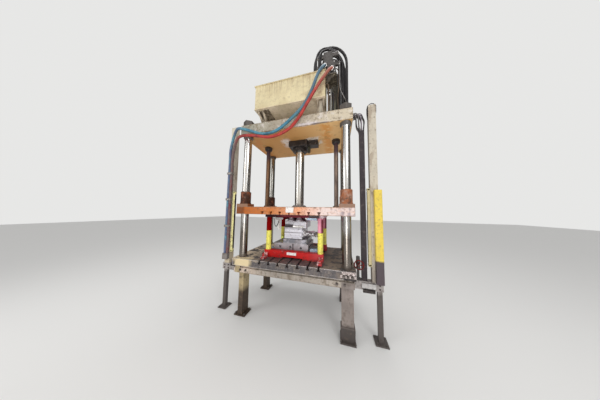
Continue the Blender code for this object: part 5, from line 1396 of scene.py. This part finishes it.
dieLineSpec = {
    "dieLine": {"diameter": 0.020, "body": "press_frame", "points": [
        (0.262, -0.262, 1.0405), (0.258, -0.264, 1.075), (0.256, -0.268, 1.110), (0.268, -0.275, 1.152),
        (0.305, -0.280, 1.182), (0.360, -0.282, 1.192), (0.405, -0.280, 1.168), (0.415, -0.268, 1.115),
        (0.405, -0.262, 1.070), (0.398, -0.260, 1.0405)]},
    "guideLine": {"diameter": 0.012, "body": "platen_group", "points": [
        (-0.297, -0.262, 1.560), (-0.300, -0.276, 1.520), (-0.318, -0.285, 1.470), (-0.345, -0.280, 1.450),
        (-0.372, -0.270, 1.480), (-0.380, -0.262, 1.540), (-0.378, -0.258, 1.6140)]},
}
for name, line in dieLineSpec.items():
    runLine(name, line["points"], line["diameter"], "blackLine", line["body"])

dieBlockSpec = {
    "sideBlockRight": {"low": (0.268, -0.262, 1.0406), "high": (0.400, -0.170, 1.100), "finish": "blueSteel"},
    "sideBlockLeft": {"low": (-0.4185, -0.262, 1.0406), "high": (-0.396, -0.120, 1.086), "finish": "blueSteel"},
    # painted shade: a thin dark strip for the shade in a groove on the lower die's face
    "dieGrooveShade": {"low": (-0.040, -0.2525, 1.060), "high": (-0.020, -0.250, 1.165), "finish": "coilShell"},
    "mechanismBlock": {"low": (0.150, -0.252, 1.300), "high": (0.222, -0.214, 1.385), "finish": "mechanismSteel",
                       "body": "platen_group"},
    "mechanismArm": {"low": (0.222, -0.262, 1.318), "high": (0.352, -0.202, 1.362), "finish": "mechanismSteel",
                     "body": "platen_group"},
    "mechanismEnd": {"low": (0.352, -0.270, 1.300), "high": (0.392, -0.194, 1.380), "finish": "mechanismSteel",
                     "body": "platen_group"},
}
dressBlocks(dieBlockSpec, 0.002, 0.006, 0.002)
print("corners and lines dressed")


# studio: plain pale floor, soft lamps and a pale surround that is darker at the sides for the chrome

studioSpec = {
    "soft": 0.62,
    "pale": (0.80, 0.80, 0.79),
    "floor": {"colour": (0.80, 0.795, 0.78), "size": 60, "rough": 0.9, "gloss": 0.15},
    "mirror": [(0.0, 1.0), (0.06, 0.92), (0.18, 0.40), (0.32, 0.12), (0.62, 0.06), (0.88, 0.09), (1.0, 0.24)],
    "mirrorTint": (1.0, 0.99, 0.97),
    "overhead": (0.55, 0.95, (0.75, 0.75, 0.74)),
    "lampGloss": 0.35,
    "lamps": [
        {"name": "key", "place": (3.6, -5.0, 5.2), "aim": (0, 0, 2.0), "size": 3.2, "power": 114},
        {"name": "fill", "place": (-4.6, -4.2, 3.6), "aim": (0, 0, 2.0), "size": 3.0, "power": 70},
        {"name": "top", "place": (0.4, 0.4, 7.2), "aim": (0, 0, 0), "size": 3.5, "power": 90},
        {"name": "bounce", "place": (0.5, -3.5, 0.85), "aim": (0.3, -1.4, 3.2), "size": 1.6, "power": 36},
    ],
}


# the camera sees the plain pale colour, metal sees the mirrored surround, and the rest is soft light
def makeSurround(spec):
    world = bpy.data.worlds.new("studio")
    scene.world = world
    world.use_nodes = True
    tree = world.node_tree
    tree.nodes.clear()
    output = addNode(tree, "ShaderNodeOutputWorld")
    rays = addNode(tree, "ShaderNodeLightPath")
    direction = addNode(tree, "ShaderNodeTexCoord").outputs["Generated"]
    split = addNode(tree, "ShaderNodeSeparateXYZ", {0: direction})
    ramp = addNode(tree, "ShaderNodeValToRGB", {0: rangeOf(tree, split.outputs[1], -1.0, 1.0)})
    stops = ramp.color_ramp.elements
    stops[0].position, stops[1].position = spec["mirror"][0][0], spec["mirror"][-1][0]
    shades = [(stops[0], spec["mirror"][0][1]), (stops[1], spec["mirror"][-1][1])]
    for stop, value in shades:
        stop.color = (*[value * part for part in spec["mirrorTint"]], 1)
    for position, value in spec["mirror"][1:-1]:
        stops.new(position).color = (*[value * part for part in spec["mirrorTint"]], 1)
    start, end, colour = spec["overhead"]
    mirrored = mixColour(tree, rangeOf(tree, split.outputs[2], start, end), ramp.outputs[0], colour)
    soft = addNode(tree, "ShaderNodeBackground", {0: (1, 1, 1, 1), 1: spec["soft"]})
    plain = addNode(tree, "ShaderNodeBackground", {0: (*spec["pale"], 1), 1: 1.0})
    mirror = addNode(tree, "ShaderNodeBackground", {0: mirrored, 1: 1.0})
    seen = addNode(tree, "ShaderNodeMixShader", {0: rays.outputs["Is Glossy Ray"], 1: plain.outputs[0],
                                                 2: mirror.outputs[0]})
    either = mathOf(tree, "MAXIMUM", rays.outputs["Is Camera Ray"],
                    mathOf(tree, "MAXIMUM", rays.outputs["Is Glossy Ray"], rays.outputs["Is Transmission Ray"]))
    final = addNode(tree, "ShaderNodeMixShader", {0: either, 1: soft.outputs[0], 2: seen.outputs[0]})
    tree.links.new(final.outputs[0], output.inputs[0])


def makeFloor(spec):
    bpy.ops.object.select_all(action="DESELECT")
    bpy.ops.mesh.primitive_plane_add(size=spec["size"], location=(0, 0, -0.0005))
    floor = bpy.context.object
    floor.name = "studioFloor"
    ground = bpy.data.materials.new("paleFloor")
    ground.use_nodes = True
    shader = ground.node_tree.nodes["Principled BSDF"]
    shader.inputs["Base Color"].default_value = (*spec["colour"], 1)
    shader.inputs["Roughness"].default_value = spec["rough"]
    shader.inputs["Specular IOR Level"].default_value = spec["gloss"]
    floor.data.materials.append(ground)


def hangLamp(lamp, gloss):
    light = bpy.data.lights.new(lamp["name"], "AREA")
    light.shape = "DISK"
    light.size = lamp["size"]
    light.energy = lamp["power"]
    light.specular_factor = gloss
    holder = bpy.data.objects.new(lamp["name"], light)
    scene.collection.objects.link(holder)
    holder.visible_camera = False  # a lamp low over the floor isn't seen in the other views
    holder.location = lamp["place"]
    aim = Vector(lamp["aim"]) - Vector(lamp["place"])
    holder.rotation_euler = aim.to_track_quat("-Z", "Y").to_euler()


makeSurround(studioSpec)
makeFloor(studioSpec["floor"])
for lamp in studioSpec["lamps"]:
    hangLamp(lamp, studioSpec["lampGloss"])
print("studio ready")
